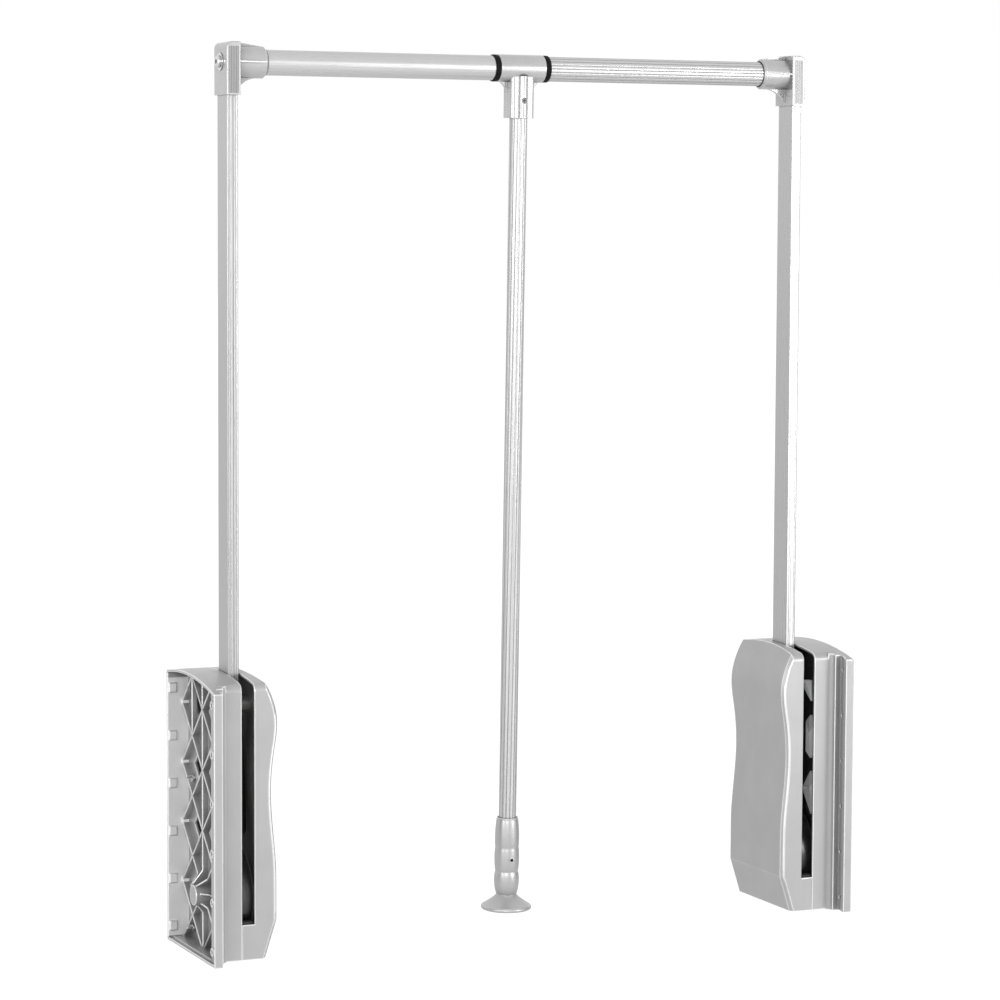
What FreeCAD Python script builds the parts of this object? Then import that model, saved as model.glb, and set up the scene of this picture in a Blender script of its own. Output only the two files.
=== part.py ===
"""Pull down closet rod: a hanging rail on two sprung arms, with a handle to draw it down.

Millimetres. X runs along the rail, -Y is the open front of the closet and Z is up.
The origin is midway between the two closet sides, at the housings' foot.
Each side is drawn once, with x counted inward from its closet side, and then placed twice.
"""
import FreeCAD
import Part
import math
import os

Vector = FreeCAD.Vector

# ---- overall sizes ----
closet_width = 700.0
rail_height = 870.0
swing_axis_y = 4.0

# ---- fits ----
running_clearance = 0.05
sliding_clearance = 0.1
seat_clearance = 0.02
moving_gap = 0.3

# ---- edges shorter than this along an axis lie across it ----
smallest_length = 0.01

# ---- how far pieces run into each other, and cuts run past a face ----
overlap = 1.0
long_overlap = 10.0

# ---- housings: outline ----
flange_depth = 145.0
flange_thickness = 8.8
flange_top_rear = 271.9
top_fall = 6.4
top_bulge = 7.9
body_front_setback = 20.0
body_bottom = 1.0
top_front_radius = 8.0
top_rear_radius = 3.0
smallest_fillet = 0.5
wall = 2.5
parting_x = 35.0
web_x = 22.0
web_thickness = 3.0

# ---- housings: slot for the arm ----
slot_width = 13.0
slot_drop = 21.5
slot_end_clearance = 0.8

# ---- covers: how the thickness differs from the waist's, up the height ----
toe_taper = 6.2
belly_swell = 5.5
shoulder_swell = 5.8
crown_taper = 14.2
belly_low_height = 38.0
belly_high_height = 78.0
waist_height = 163.0
shoulder_drop = 31.9
crown_rise = 10.0
crown_steepness = 0.9
cover_bevel = 3.5
cover_rear_bevel_width = 9.0
cover_rear_bevel_depth = 10.8

# ---- bases: ribs, flange channel and screw bosses ----
rib_edge_x = 15.0
rib_thickness = 1.4
lattice_y = 8.0
lattice_pitch_y = 31.0
lattice_pitch_z = 60.0
lattice_spare_rows = 2
web_hole_size = 0.42
pocket_floor_x = 19.5
pocket_wall = 2.0
pocket_shift = 8.0
boss_radius = 10.0
boss_face_x = 4.0
fan_fall = 11.0
fan_rise = 2.5
lattice_clear_radius = 38.0
cove_radius = 5.0
ridge_top = 1.0
ridge_x = 14.0
channel_offset = 6.0
channel_depth = 1.6
wall_screw_radius = 2.25
wall_screw_boss_radius = 4.2
wall_screw_first = 14.0
wall_screw_pitch = 48.0
clip_width = 8.0
clip_height = 9.5
clip_depth = 1.5
clip_x = 1.5
case_screw_radius = 1.6
case_screw_length = 28.0
case_screw_head_radius = 3.3
case_screw_head_height = 2.4
case_screw_seat_margin = 0.4
cross_depth = 1.4
cross_half_width = 0.5
cross_half_length = 1.8
case_screw_grip = 9.0
case_boss_radius = 4.2
case_screw_rear_inset = 20.5
case_screw_front_inset = 9.5
case_screw_low_height = 14.0
case_screw_middle_height = 165.0
case_screw_high_drop = 19.9

# ---- liner plates beside the arms ----
liner_thickness = 2.0
liner_edge_gap = 1.5
liner_border = 4.0
liner_window_size = 0.75

# ---- swing arms ----
arm_thickness = 11.4
arm_depth = 28.6
arm_wall = 1.5
arm_corner = 1.2
arm_groove_width = 1.6
arm_groove_depth = 0.5

# ---- hubs on their axles ----
axle_radius = 6.0
axle_seat_x = 8.0
axle_head_radius = 9.0
axle_head_thickness = 0.9
bush_wall = 1.5
bush_length = 8.0
hub_front_gap = 6.0
hub_floor_gap = 5.5
hub_core_radius = 22.0
hub_edge_radius = 1.0
hub_liner_gap = 1.5
hub_inner_wall = 3.3
hub_rim = 8.0
hub_pocket_depth = 4.0
hub_spoke_margin = 2.0
rivet_radius = 2.5
rivet_drops = (18.0, 7.0)

# ---- gas struts ----
lever_radius = 18.0
lever_angle = -75.0
lever_pin_radius = 3.0
lever_pin_play = 4.4
lever_pin_bite = 12.5
lever_clip_radius = 5.0
lever_clip_thickness = 1.2
strut_hub_side_gap = 1.3
strut_cover_gap = 0.4
strut_eye_thickness = 8.0
strut_rod_radius = 4.0
strut_rod_eye_radius = 10.6
strut_cylinder_radius = 7.5
strut_cylinder_bore = 6.3
strut_hub_gap = 8.5
strut_piston_length = 8.0
strut_end_wall = 6.0
strut_end_bevel = 1.0
strut_neck_radius = 4.0
strut_neck_gap = 1.0
strut_piston_gap = 2.0
anchor_y = 28.0
anchor_drop = 31.9
anchor_pin_radius = 4.0
anchor_shoulder_radius = 5.5
anchor_eye_wall = 3.5
anchor_journal_lead = 2.0

# ---- rubber stops ----
stop_drop = 30.0
stop_length = 16.0
stop_pad_thickness = 6.0
stop_shelf_thickness = 3.0
stop_pad_round = 0.8
swing_end_angle = 95.0
bumper_depth = 7.0
bumper_foot_gap = 5.4

# ---- rail ----
rail_radius = 12.4
rail_wall = 1.0
inner_tube_radius = 10.25
inner_tube_wall = 1.2
inner_tube_length = 380.0
rail_edge_radius = 1.0
ring_radius = 13.5
ring_width = 5.3
ring_spigot_length = 15.0
slider_length = 15.0
rail_plug_length = 16.0

# ---- corner brackets ----
bracket_thickness = 14.6
bracket_depth = 37.6
bracket_drop = 32.0
bracket_rise = 19.0
bracket_top_radius = 6.0
bracket_edge_radius = 1.2
bracket_roof = 5.7
bracket_socket_radius = 15.5
bracket_socket_length = 30.0
bracket_socket_bevel = 2.2
bracket_socket_floor = 2.2
bracket_seam_height = 1.2
bracket_seam_depth = 0.5
gusset_thickness = 4.0
gusset_drop = 31.0
gusset_curve_reach = 0.38
gusset_curve_drop = 3.2
gusset_root = 3.0
cap_flange_radius = 8.5
cap_flange_thickness = 1.0
cap_radius = 5.6
cap_height = 4.5
cap_round = 1.4
cap_screw_radius = 3.0
cap_socket_radius = 2.6
cap_socket_depth = 3.0

# ---- handle ----
handle_lean = 1.5
tee_radius = 13.75
tee_length = 49.4
neck_width = 26.0
neck_depth = 22.0
neck_drop = 49.5
neck_wall_top = 2.0
neck_corner = 4.0
column_radius = 5.0
column_offset = 12.5
tee_gusset_reach = 23.5
tee_gusset_drop = 26.0
tee_gusset_hollow = 3.0
tee_screw_drop = 32.0
tee_screw_radius = 1.5
tee_screw_head_radius = 2.9
tee_screw_head_height = 2.0
tee_screw_sink = 0.6
tee_screw_end_wall = 2.0
tee_cross_half_width = 0.4
tee_cross_half_length = 1.8
tee_half_reach = 60.0
pull_rod_radius = 9.0
pull_rod_wall = 1.2
grip_top = 108.0
grip_bottom = 12.0
grip_socket_depth = 62.0
grip_end_radius = 10.9
grip_swell_radius = 12.75
grip_waist_radius = 12.0
grip_neck_radius = 10.7
grip_swell_heights = (92.5, 65.0, 41.0)
grip_waist_heights = (76.7, 51.7)
grip_neck_height = 27.5
bell_height = 19.5
bell_radius = 19.0
disc_radius = 26.2
disc_foot_round = 3.0
disc_rim_height = 14.4
grip_screw_height = 65.0
grip_screw_radius = 1.5
grip_screw_sink = 0.8
grip_screw_bite = 3.0
grip_screw_recess_radius = 0.8
grip_screw_recess_depth = 1.0

# ---- sizes that follow ----
flange_front = -flange_depth / 2
flange_rear = flange_depth / 2
body_front = flange_front + body_front_setback
body_rear = flange_rear
channel_end = body_front - cove_radius - ridge_top
hub_radius = swing_axis_y - body_front - wall - hub_front_gap
hub_pocket_radius = hub_radius - hub_rim
rivet_heights = [hub_radius - drop for drop in rivet_drops]
swing_axis_height = body_bottom + wall + hub_floor_gap + hub_radius
slot_bottom = swing_axis_height - slot_drop
lattice_height = swing_axis_height + fan_rise + lattice_pitch_z
flange_top_front = flange_top_rear - top_fall
wall_screw_room = flange_top_front - wall_screw_first - wall_screw_boss_radius
wall_screw_count = int(wall_screw_room / wall_screw_pitch) + 1
shoulder_height = flange_top_rear - shoulder_drop
crown_height = flange_top_rear + crown_rise
case_screw_high_height = flange_top_rear - case_screw_high_drop
case_screw_rear_y = body_rear - case_screw_rear_inset
case_screw_front_y = body_front + case_screw_front_inset
anchor_height = flange_top_rear - anchor_drop
stop_height = anchor_height - stop_drop
pocket_y = lattice_y - lattice_pitch_y - pocket_shift
liner_x = web_x + web_thickness
arm_x = parting_x + slot_width / 2 - arm_thickness / 2
hub_outer_x = liner_x + liner_thickness + hub_liner_gap
hub_inner_x = arm_x + arm_thickness + hub_inner_wall
arm_front = swing_axis_y - arm_depth / 2
arm_rear = swing_axis_y + arm_depth / 2
arm_foot = swing_axis_height + hub_core_radius
arm_middle_x = arm_x + arm_thickness / 2
bracket_bottom = rail_height - bracket_drop
bracket_top = rail_height + bracket_rise
bracket_x = arm_middle_x - bracket_thickness / 2
bracket_inner_x = bracket_x + bracket_thickness
rail_start_x = bracket_inner_x + bracket_socket_floor
ring_x = closet_width / 2 - tee_length / 2 - moving_gap - ring_width
arm_head = bracket_top - bracket_roof
lever_pin_seat_x = hub_inner_x - lever_pin_bite
strut_low_x = hub_inner_x + strut_hub_side_gap
strut_x = strut_low_x + strut_eye_thickness / 2
strut_high_x = strut_x + strut_eye_thickness / 2
cover_waist = strut_x + strut_cylinder_radius + strut_cover_gap + wall
cover_toe = cover_waist - toe_taper
cover_belly = cover_waist + belly_swell
cover_shoulder = cover_waist + shoulder_swell
cover_crown = cover_waist - crown_taper
lever_pin_y = swing_axis_y + lever_radius * math.cos(math.radians(lever_angle))
lever_pin_height = swing_axis_height + lever_radius * math.sin(math.radians(lever_angle))
strut_length = math.hypot(lever_pin_y - anchor_y, lever_pin_height - anchor_height)
strut_tilt = math.degrees(math.atan2(lever_pin_y - anchor_y, anchor_height - lever_pin_height))
strut_neck_length = anchor_pin_radius + anchor_eye_wall + strut_neck_gap
strut_foot = swing_axis_height + hub_radius + strut_hub_gap - anchor_height
neck_bottom = rail_height - neck_drop
tee_screw_height = rail_height - tee_screw_drop
pull_rod_top = rail_height - inner_tube_radius - neck_wall_top


# ---- plain shapes ----
def box(x0, x1, y0, y1, z0, z1):
    return Part.makeBox(x1 - x0, y1 - y0, z1 - z0, Vector(x0, y0, z0))


def cylinder_x(radius, x0, x1, y, z):
    return Part.makeCylinder(radius, x1 - x0, Vector(x0, y, z), Vector(1, 0, 0))


def cylinder_y(radius, y0, y1, x, z):
    return Part.makeCylinder(radius, y1 - y0, Vector(x, y0, z), Vector(0, 1, 0))


def cylinder_z(radius, z0, z1, x, y):
    return Part.makeCylinder(radius, z1 - z0, Vector(x, y, z0))


def prism(points, direction):
    """A closed polygon carried along a direction."""
    return Part.Face(Part.makePolygon(points + [points[0]])).extrude(direction)


def joined(pieces):
    """One solid from pieces that run into each other."""
    return pieces[0].fuse(pieces[1:]).removeSplitter()


def group(pieces):
    """Separate solids that share one node."""
    return Part.makeCompound(pieces)


def upright_edges(shape, low, high):
    """The straight edges along Z that lie wholly between two heights."""
    found = []
    for edge in shape.Edges:
        box_of = edge.BoundBox
        upright = box_of.XLength < smallest_length and box_of.YLength < smallest_length
        if upright and box_of.ZMin > low - smallest_length and box_of.ZMax < high + smallest_length:
            found.append(edge)
    return found


def end_edges(shape):
    """The edges that lie in a plane across X."""
    return [edge for edge in shape.Edges if edge.BoundBox.XLength < smallest_length]


# ---- the rounded top that flange, base and cover share ----
def top_circle():
    """Centre height, centre y and radius of the arc over the housings."""
    chord = math.hypot(flange_depth, top_fall)
    radius = (chord ** 2 / 4 + top_bulge ** 2) / (2 * top_bulge)
    lever = (radius - top_bulge) / chord
    middle = (flange_top_rear + flange_top_front) / 2
    return middle - lever * flange_depth, lever * top_fall, radius


def top_height(y, inset):
    centre_height, centre_y, radius = top_circle()
    return centre_height + math.sqrt((radius - inset) ** 2 - (y - centre_y) ** 2)


def side_slab(x0, x1, front, rear, bottom, inset):
    """A slab with straight front, rear and bottom and the rounded top, set in by inset."""
    y0 = front + inset
    y1 = rear - inset
    z0 = bottom + inset
    middle = (y0 + y1) / 2
    foot_rear = Vector(x0, y1, z0)
    foot_front = Vector(x0, y0, z0)
    head_rear = Vector(x0, y1, top_height(y1, inset))
    head_front = Vector(x0, y0, top_height(y0, inset))
    crest = Vector(x0, middle, top_height(middle, inset))
    outline = Part.Wire([
        Part.makeLine(foot_front, foot_rear),
        Part.makeLine(foot_rear, head_rear),
        Part.Arc(head_rear, crest, head_front).toShape(),
        Part.makeLine(head_front, foot_front),
    ])
    return Part.Face(outline).extrude(Vector(x1 - x0, 0, 0))


def corner_rounded(slab, at_rear, radius):
    """A slab with one of its two top corners rounded."""
    middle = (flange_front + flange_rear) / 2
    corners = []
    for edge in slab.Edges:
        bounds = edge.BoundBox
        crosses = bounds.YLength < smallest_length and bounds.ZLength < smallest_length
        if crosses and bounds.ZMin > shoulder_height and (bounds.YMin > middle) == at_rear:
            corners.append(edge)
    return slab.makeFillet(max(radius, smallest_fillet), corners)


def flange_slab(x0, x1, inset):
    slab = side_slab(x0, x1, flange_front, flange_rear, 0.0, inset)
    return corner_rounded(slab, True, top_rear_radius - inset)


def body_slab(x0, x1, inset):
    """The body's side outline with its two top corners rounded."""
    slab = side_slab(x0, x1, body_front, body_rear, body_bottom, inset)
    slab = corner_rounded(slab, True, top_rear_radius - inset)
    return corner_rounded(slab, False, top_front_radius - inset)


# ---- housing covers ----
def cover_wave(inset, shift_x, y0, y1, slide):
    """The cover's thickness up its height, carried along Y, or slantwise by slide."""
    toe_slope = (cover_belly - cover_toe) / (belly_low_height - body_bottom)
    low = -long_overlap
    toe = cover_toe + toe_slope * (low - body_bottom)
    thickness = -inset + shift_x
    waist_mix = (cover_belly + cover_waist) / 2
    shoulder_mix = (cover_waist + cover_shoulder) / 2
    points = [
        (cover_belly, belly_high_height),
        (waist_mix, (belly_high_height + waist_height) / 2),
        (cover_waist, waist_height),
        (shoulder_mix, (waist_height + shoulder_height) / 2),
        (cover_shoulder, shoulder_height),
        (cover_crown, crown_height),
    ]
    curve = Part.BSplineCurve()
    curve.interpolate(
        Points=[Vector(x + thickness, y0, z) for x, z in points],
        InitialTangent=Vector(0, 0, 1),
        FinalTangent=Vector(-1, 0, crown_steepness),
    )
    hidden_x = -closet_width
    toe_point = Vector(toe + thickness, y0, low)
    belly_point = Vector(cover_belly + thickness, y0, belly_low_height)
    start = Vector(cover_belly + thickness, y0, belly_high_height)
    crown = Vector(cover_crown + thickness, y0, crown_height)
    crown_hidden = Vector(hidden_x, y0, crown_height)
    toe_hidden = Vector(hidden_x, y0, low)
    outline = Part.Wire([
        Part.makeLine(toe_point, belly_point),
        Part.makeLine(belly_point, start),
        curve.toShape(),
        Part.makeLine(crown, crown_hidden),
        Part.makeLine(crown_hidden, toe_hidden),
        Part.makeLine(toe_hidden, toe_point),
    ])
    return Part.Face(outline).extrude(Vector(slide, y1 - y0, 0))


def cover_block(inset):
    """The cover's outer or inner volume, inward of the parting plane."""
    block = body_slab(parting_x, cover_shoulder + wall, inset)
    return block.common(cover_wave(inset, 0.0, body_front - overlap, body_rear + overlap, 0.0))


def front_bevel():
    """The cover's thickness carried slantwise, as the bevel down its front edge."""
    reach = body_rear - body_front + 2 * overlap
    return cover_wave(0.0, -cover_bevel - overlap, body_front - overlap, body_rear + overlap, reach)


def rear_bevel(inset):
    """The cover's thickness carried slantwise, as the broad bevel down its rear edge."""
    slope = cover_rear_bevel_width / cover_rear_bevel_depth
    reach = body_rear - body_front + 2 * overlap
    shift = -cover_rear_bevel_width - slope * overlap
    return cover_wave(inset, shift, body_rear + overlap, body_front - overlap, slope * reach)


def housing_cover():
    """The cover's shell, its slot, its bevelled long edges and its screw bosses."""
    outer = cover_block(0.0).common(front_bevel()).common(rear_bevel(0.0))
    slant = math.hypot(cover_rear_bevel_width, cover_rear_bevel_depth) / cover_rear_bevel_depth
    hollow = cover_block(wall).common(rear_bevel(wall * slant))
    bosses = []
    for y, z in case_screw_places():
        bosses.append(cylinder_x(case_boss_radius, parting_x, cover_shoulder, y, z))
    anchor_boss = cylinder_x(
        anchor_pin_radius + anchor_eye_wall, strut_high_x + moving_gap, cover_shoulder,
        anchor_y, anchor_height)
    bosses.append(anchor_boss)
    shell = outer.cut(hollow)
    shell = joined([shell] + [boss.common(outer) for boss in bosses])
    shell = shell.cut(slot_cutter())
    shell = shell.cut(anchor_seat())
    for y, z in case_screw_places():
        hole_end = web_x + case_screw_length + seat_clearance
        hole = cylinder_x(case_screw_radius + seat_clearance, parting_x - overlap, hole_end, y, z)
        shell = shell.cut(hole)
    return shell


def slot_cutter():
    """The slot that the arm swings out through: down the front and back over the top."""
    rear = arm_rear + slot_end_clearance
    top = crown_height
    return box(parting_x, parting_x + slot_width, body_front - overlap, rear, slot_bottom, top)


def case_screw_places():
    return [
        (case_screw_rear_y, case_screw_low_height),
        (case_screw_rear_y, case_screw_middle_height),
        (case_screw_rear_y, case_screw_high_height),
        (case_screw_front_y, case_screw_low_height),
    ]


# ---- housing bases ----
def lattice_ribs():
    """Two families of slanting ribs that cross in diamonds."""
    reach = body_rear - body_front
    angle = math.degrees(math.atan2(lattice_pitch_z / 2, lattice_pitch_y))
    rows = int(crown_height / lattice_pitch_z) + lattice_spare_rows
    ribs = []
    for row in range(-rows, rows):
        for lean in (-angle, angle):
            rib = box(rib_edge_x, web_x + overlap, -reach, reach, -rib_thickness / 2, rib_thickness / 2)
            rib.rotate(Vector(0, 0, 0), Vector(1, 0, 0), lean)
            rib.translate(Vector(0, lattice_y, lattice_height + row * lattice_pitch_z))
            if rib.BoundBox.ZMax > 0 and rib.BoundBox.ZMin < crown_height:
                ribs.append(rib)
    half = rib_thickness / 2
    rear_y = lattice_y + lattice_pitch_y
    rear_foot = lattice_height + 3 * lattice_pitch_z / 2
    ribs.append(box(rib_edge_x, web_x + overlap, lattice_y - half, lattice_y + half, 0, crown_height))
    ribs.append(box(rib_edge_x, web_x + overlap, rear_y - half, rear_y + half, rear_foot, crown_height))
    return ribs[0].fuse(ribs[1:])


def diamond(x0, x1, y, z, size):
    """A diamond-shaped prism, as a share of one lattice cell."""
    half_y = lattice_pitch_y * size
    half_z = lattice_pitch_z / 2 * size
    corners = [
        Vector(x0, y - half_y, z),
        Vector(x0, y, z - half_z),
        Vector(x0, y + half_y, z),
        Vector(x0, y, z + half_z),
    ]
    return prism(corners, Vector(x1 - x0, 0, 0))


def cell_heights(lowest, highest):
    """Heights of the diamonds' centres between two heights."""
    rows = int(crown_height / lattice_pitch_z)
    heights = [lattice_height + row * lattice_pitch_z for row in range(-rows, rows)]
    return [z for z in heights if lowest < z < highest]


def pockets(floor_x, x1, grow):
    """The diamonds of the front column, as prisms from a floor, with grow added all round."""
    size = liner_window_size + grow / lattice_pitch_y
    heights = cell_heights(swing_axis_height + lattice_clear_radius, shoulder_height + overlap)
    return [diamond(floor_x, x1, pocket_y, z, size) for z in heights]


def fan_ribs_round_boss():
    """Ribs that fall from the axle boss to the lattice's level, along the lattice and to the front."""
    half = rib_thickness / 2
    fan_height = swing_axis_height + fan_rise
    lean = math.degrees(math.atan2(lattice_pitch_y, lattice_pitch_z / 2))
    ribs = [box(rib_edge_x, web_x + overlap, body_front, lattice_y, fan_height - half, fan_height + half)]
    for turn in (0, lean, 90, 180 - lean, 180, 180 + lean, 360 - lean):
        profile = [
            Vector(boss_face_x + overlap, -half, 0),
            Vector(boss_face_x + overlap, -half, boss_radius - overlap),
            Vector(rib_edge_x, -half, boss_radius + fan_fall),
            Vector(web_x + overlap, -half, boss_radius + fan_fall),
            Vector(web_x + overlap, -half, 0),
        ]
        rib = prism(profile, Vector(0, rib_thickness, 0))
        rib.rotate(Vector(0, 0, 0), Vector(1, 0, 0), turn)
        rib.translate(Vector(0, lattice_y, fan_height))
        ribs.append(rib)
    return ribs


def flange_cove():
    """The ridge beside the channel, and the hollow curve from it to the base's front."""
    corner_y = body_front - cove_radius
    corner_x = ridge_x + cove_radius
    blank = box(flange_thickness, corner_x, channel_end, body_front + overlap, 0, crown_height)
    scoop = cylinder_z(cove_radius, -overlap, crown_height + overlap, corner_x, corner_y)
    over_ridge = box(ridge_x, corner_x + overlap, channel_end - overlap, corner_y, 0, crown_height)
    return blank.cut([scoop, over_ridge]).common(flange_slab(0, corner_x, 0.0))


def flange_channel():
    """The shallow channel down the flange's inner face, where the wall screws go."""
    y0 = flange_front + channel_offset
    floor = flange_thickness - channel_depth
    return box(floor, flange_thickness + overlap, y0, channel_end, -overlap, crown_height)


def wall_screw_places():
    y = (flange_front + channel_offset + channel_end) / 2
    return [(y, wall_screw_first + index * wall_screw_pitch) for index in range(wall_screw_count)]


def rear_clips():
    """Small square clips on the inside of the rear rim."""
    clips = []
    for index in range(wall_screw_count):
        z = wall_screw_first + index * wall_screw_pitch
        y1 = flange_rear - wall + sliding_clearance
        y0 = y1 - clip_depth
        clips.append(box(clip_x, clip_x + clip_width, y0, y1, z - clip_height / 2, z + clip_height / 2))
    return clips


def base_shell():
    """The rim, web and flange of the base, hollow on both sides of the web."""
    solid = body_slab(0, parting_x, 0.0).fuse([flange_slab(0, flange_thickness, 0.0), flange_cove()])
    solid = solid.removeSplitter()
    flange_floor = flange_thickness - channel_depth - wall
    recess = body_slab(-overlap, web_x, wall).fuse(flange_slab(-overlap, flange_floor, wall))
    cavity = body_slab(liner_x, parting_x + overlap, wall)
    return solid.cut(flange_channel()).cut(recess).cut(cavity)


def base_ribs():
    """All ribs on the closet side of the web, kept inside the rim."""
    room = body_slab(0, web_x + overlap, wall)
    return [rib.common(room) for rib in [lattice_ribs()] + fan_ribs_round_boss()]


def stop_shelf():
    """The shelf on the base that backs the rubber stop behind the arm."""
    y0 = arm_rear + moving_gap + stop_pad_thickness
    z0 = stop_height - stop_length / 2
    return box(
        liner_x - overlap, arm_x + arm_thickness, y0, y0 + stop_shelf_thickness, z0, z0 + stop_length)


def housing_base():
    """The base that is screwed to the closet side and carries the axle."""
    bosses = [cylinder_x(boss_radius, boss_face_x, web_x + overlap, swing_axis_y, swing_axis_height)]
    floor = flange_thickness - channel_depth
    for y, z in wall_screw_places():
        boss = cylinder_x(wall_screw_boss_radius, smallest_fillet, floor, y, z)
        bosses.append(boss.common(flange_slab(0, flange_thickness, smallest_fillet)))
    for y, z in case_screw_places():
        boss = cylinder_x(case_boss_radius, liner_x - overlap, parting_x, y, z)
        bosses.append(boss.common(body_slab(0, parting_x, smallest_fillet)))
    room = body_slab(0, liner_x, wall / 2)
    trays = [tray.common(room) for tray in pockets(pocket_floor_x - pocket_wall, liner_x, pocket_wall)]
    base = joined([base_shell(), stop_shelf()] + base_ribs() + trays + rear_clips() + bosses)
    cuts = [cylinder_x(
        axle_radius + seat_clearance, axle_seat_x, parting_x, swing_axis_y, swing_axis_height)]
    for y, z in wall_screw_places():
        cuts.append(cylinder_x(wall_screw_radius, -overlap, flange_thickness, y, z))
    for y, z in case_screw_places():
        cuts.append(cylinder_x(
            case_screw_radius + sliding_clearance, web_x - case_screw_grip, parting_x + overlap, y, z))
        cuts.append(cylinder_x(
            case_screw_head_radius + case_screw_seat_margin, rib_edge_x - overlap,
            web_x + seat_clearance, y, z))
    inside = body_slab(0, parting_x, wall)
    cuts = cuts + [pocket.common(inside) for pocket in pockets(pocket_floor_x, liner_x + overlap, 0.0)]
    for z in cell_heights(swing_axis_height + lattice_clear_radius, shoulder_height):
        cuts.append(diamond(
            web_x - overlap, liner_x + overlap, lattice_y + lattice_pitch_y, z, web_hole_size))
    cuts.append(anchor_seat())
    return base.cut(cuts)


def case_screws():
    """The screws that hold cover and base together, from the closet side."""
    screws = []
    for y, z in case_screw_places():
        head = cylinder_x(
            case_screw_head_radius, web_x - case_screw_head_height + seat_clearance,
            web_x + seat_clearance, y, z)
        shank = cylinder_x(case_screw_radius, web_x, web_x + case_screw_length, y, z)
        screw = joined([head, shank])
        cross_end = web_x - case_screw_head_height + cross_depth
        spreads = ((cross_half_length, cross_half_width), (cross_half_width, cross_half_length))
        for half_y, half_z in spreads:
            screw = screw.cut(box(0, cross_end, y - half_y, y + half_y, z - half_z, z + half_z))
        screws.append(screw)
    return group(screws)


def liner_plate():
    """The black plate over the base's web, with windows that follow the diamonds."""
    inset = wall + liner_edge_gap
    plate = body_slab(liner_x, liner_x + liner_thickness, inset)
    cuts = []
    x0 = liner_x - overlap
    x1 = liner_x + liner_thickness + overlap
    for z in cell_heights(swing_axis_height + lattice_clear_radius / 2, shoulder_height + overlap):
        cuts.append(diamond(x0, x1, lattice_y + lattice_pitch_y, z, liner_window_size))
    cuts = cuts + pockets(x0, x1, 0.0)
    room = body_slab(x0, x1, inset + liner_border)
    cuts = [cut.common(room) for cut in cuts]
    x1 = parting_x
    cuts.append(cylinder_x(axle_radius + sliding_clearance, x0, x1, swing_axis_y, swing_axis_height))
    cuts.append(cylinder_x(anchor_shoulder_radius + sliding_clearance, x0, x1, anchor_y, anchor_height))
    for y, z in case_screw_places():
        cuts.append(cylinder_x(case_boss_radius + sliding_clearance, x0, x1, y, z))
    shelf = stop_shelf().BoundBox
    gap = sliding_clearance
    cuts.append(box(x0, x1, shelf.YMin - gap, shelf.YMax + gap, shelf.ZMin - gap, shelf.ZMax + gap))
    return plate.cut(cuts)


# ---- stops ----
def rear_stop():
    """The rubber pad that the raised arm rests against."""
    y0 = arm_rear + moving_gap
    z0 = stop_height - stop_length / 2
    pad = box(arm_x, arm_x + arm_thickness, y0, y0 + stop_pad_thickness, z0, z0 + stop_length)
    return pad.makeFillet(stop_pad_round, upright_edges(pad, z0, z0 + stop_length)[:2])


def bumper_top(y):
    """Height just under the lowered arm, at a place in front of the axle."""
    fall = math.radians(swing_end_angle - 90)
    ahead = swing_axis_y - y
    return swing_axis_height - ahead * math.tan(fall) - (arm_depth / 2 + moving_gap) / math.cos(fall)


def front_bumper():
    """The rubber block at the foot of the slot that stops the lowered arm."""
    y0 = body_front + wall
    y1 = y0 + bumper_depth
    x0 = parting_x + moving_gap
    top_front = bumper_top(y0)
    top_rear = bumper_top(y1)
    foot = case_screw_low_height + case_boss_radius + bumper_foot_gap
    corners = [
        Vector(x0, y0, foot),
        Vector(x0, y1, foot),
        Vector(x0, y1, top_rear),
        Vector(x0, y0, top_front),
    ]
    return prism(corners, Vector(slot_width - 2 * moving_gap, 0, 0))


# ---- axle, hub and arm ----
def pivot_axle():
    head_x = hub_inner_x + sliding_clearance
    shaft = cylinder_x(axle_radius, axle_seat_x, head_x, swing_axis_y, swing_axis_height)
    head = cylinder_x(
        axle_head_radius, head_x, head_x + axle_head_thickness, swing_axis_y, swing_axis_height)
    return joined([shaft, head])


def bush_outer_radius():
    return axle_radius + running_clearance + bush_wall


def pivot_bushes():
    """Two plain bushes in the hub, one from each face."""
    bushes = []
    for x0 in (hub_outer_x, hub_inner_x - bush_length):
        ring = cylinder_x(bush_outer_radius(), x0, x0 + bush_length, swing_axis_y, swing_axis_height)
        bore = cylinder_x(
            axle_radius + running_clearance, x0, x0 + bush_length, swing_axis_y, swing_axis_height)
        bushes.append(ring.cut(bore))
    return group(bushes)


def arm_block(grow, foot, head):
    return box(
        arm_x - grow, arm_x + arm_thickness + grow, arm_front - grow, arm_rear + grow, foot, head)


def arm_hub():
    """The drum that the arm stands in, turning on the axle."""
    y = swing_axis_y
    z = swing_axis_height
    drum = cylinder_x(hub_radius, hub_outer_x, hub_inner_x, y, z)
    drum = drum.makeFillet(hub_edge_radius, end_edges(drum))
    cuts = [
        arm_block(seat_clearance, arm_foot, z + hub_radius + overlap),
        cylinder_x(bush_outer_radius() + seat_clearance, hub_outer_x, hub_inner_x, y, z),
        lever_pin_shaft(seat_clearance),
    ]
    cuts = cuts + [rivet_shaft(height, seat_clearance) for height in rivet_heights]
    ring = cylinder_x(hub_pocket_radius, hub_outer_x - overlap, hub_outer_x + hub_pocket_depth, y, z)
    core = cylinder_x(hub_core_radius, hub_outer_x - overlap, hub_outer_x + hub_pocket_depth, y, z)
    spoke_half = arm_depth / 2 + hub_spoke_margin
    spoke = box(
        hub_outer_x - overlap, hub_outer_x + hub_pocket_depth, y - spoke_half, y + spoke_half, z,
        z + hub_radius)
    cuts.append(ring.cut([core, spoke]))
    return drum.cut(cuts)


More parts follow.
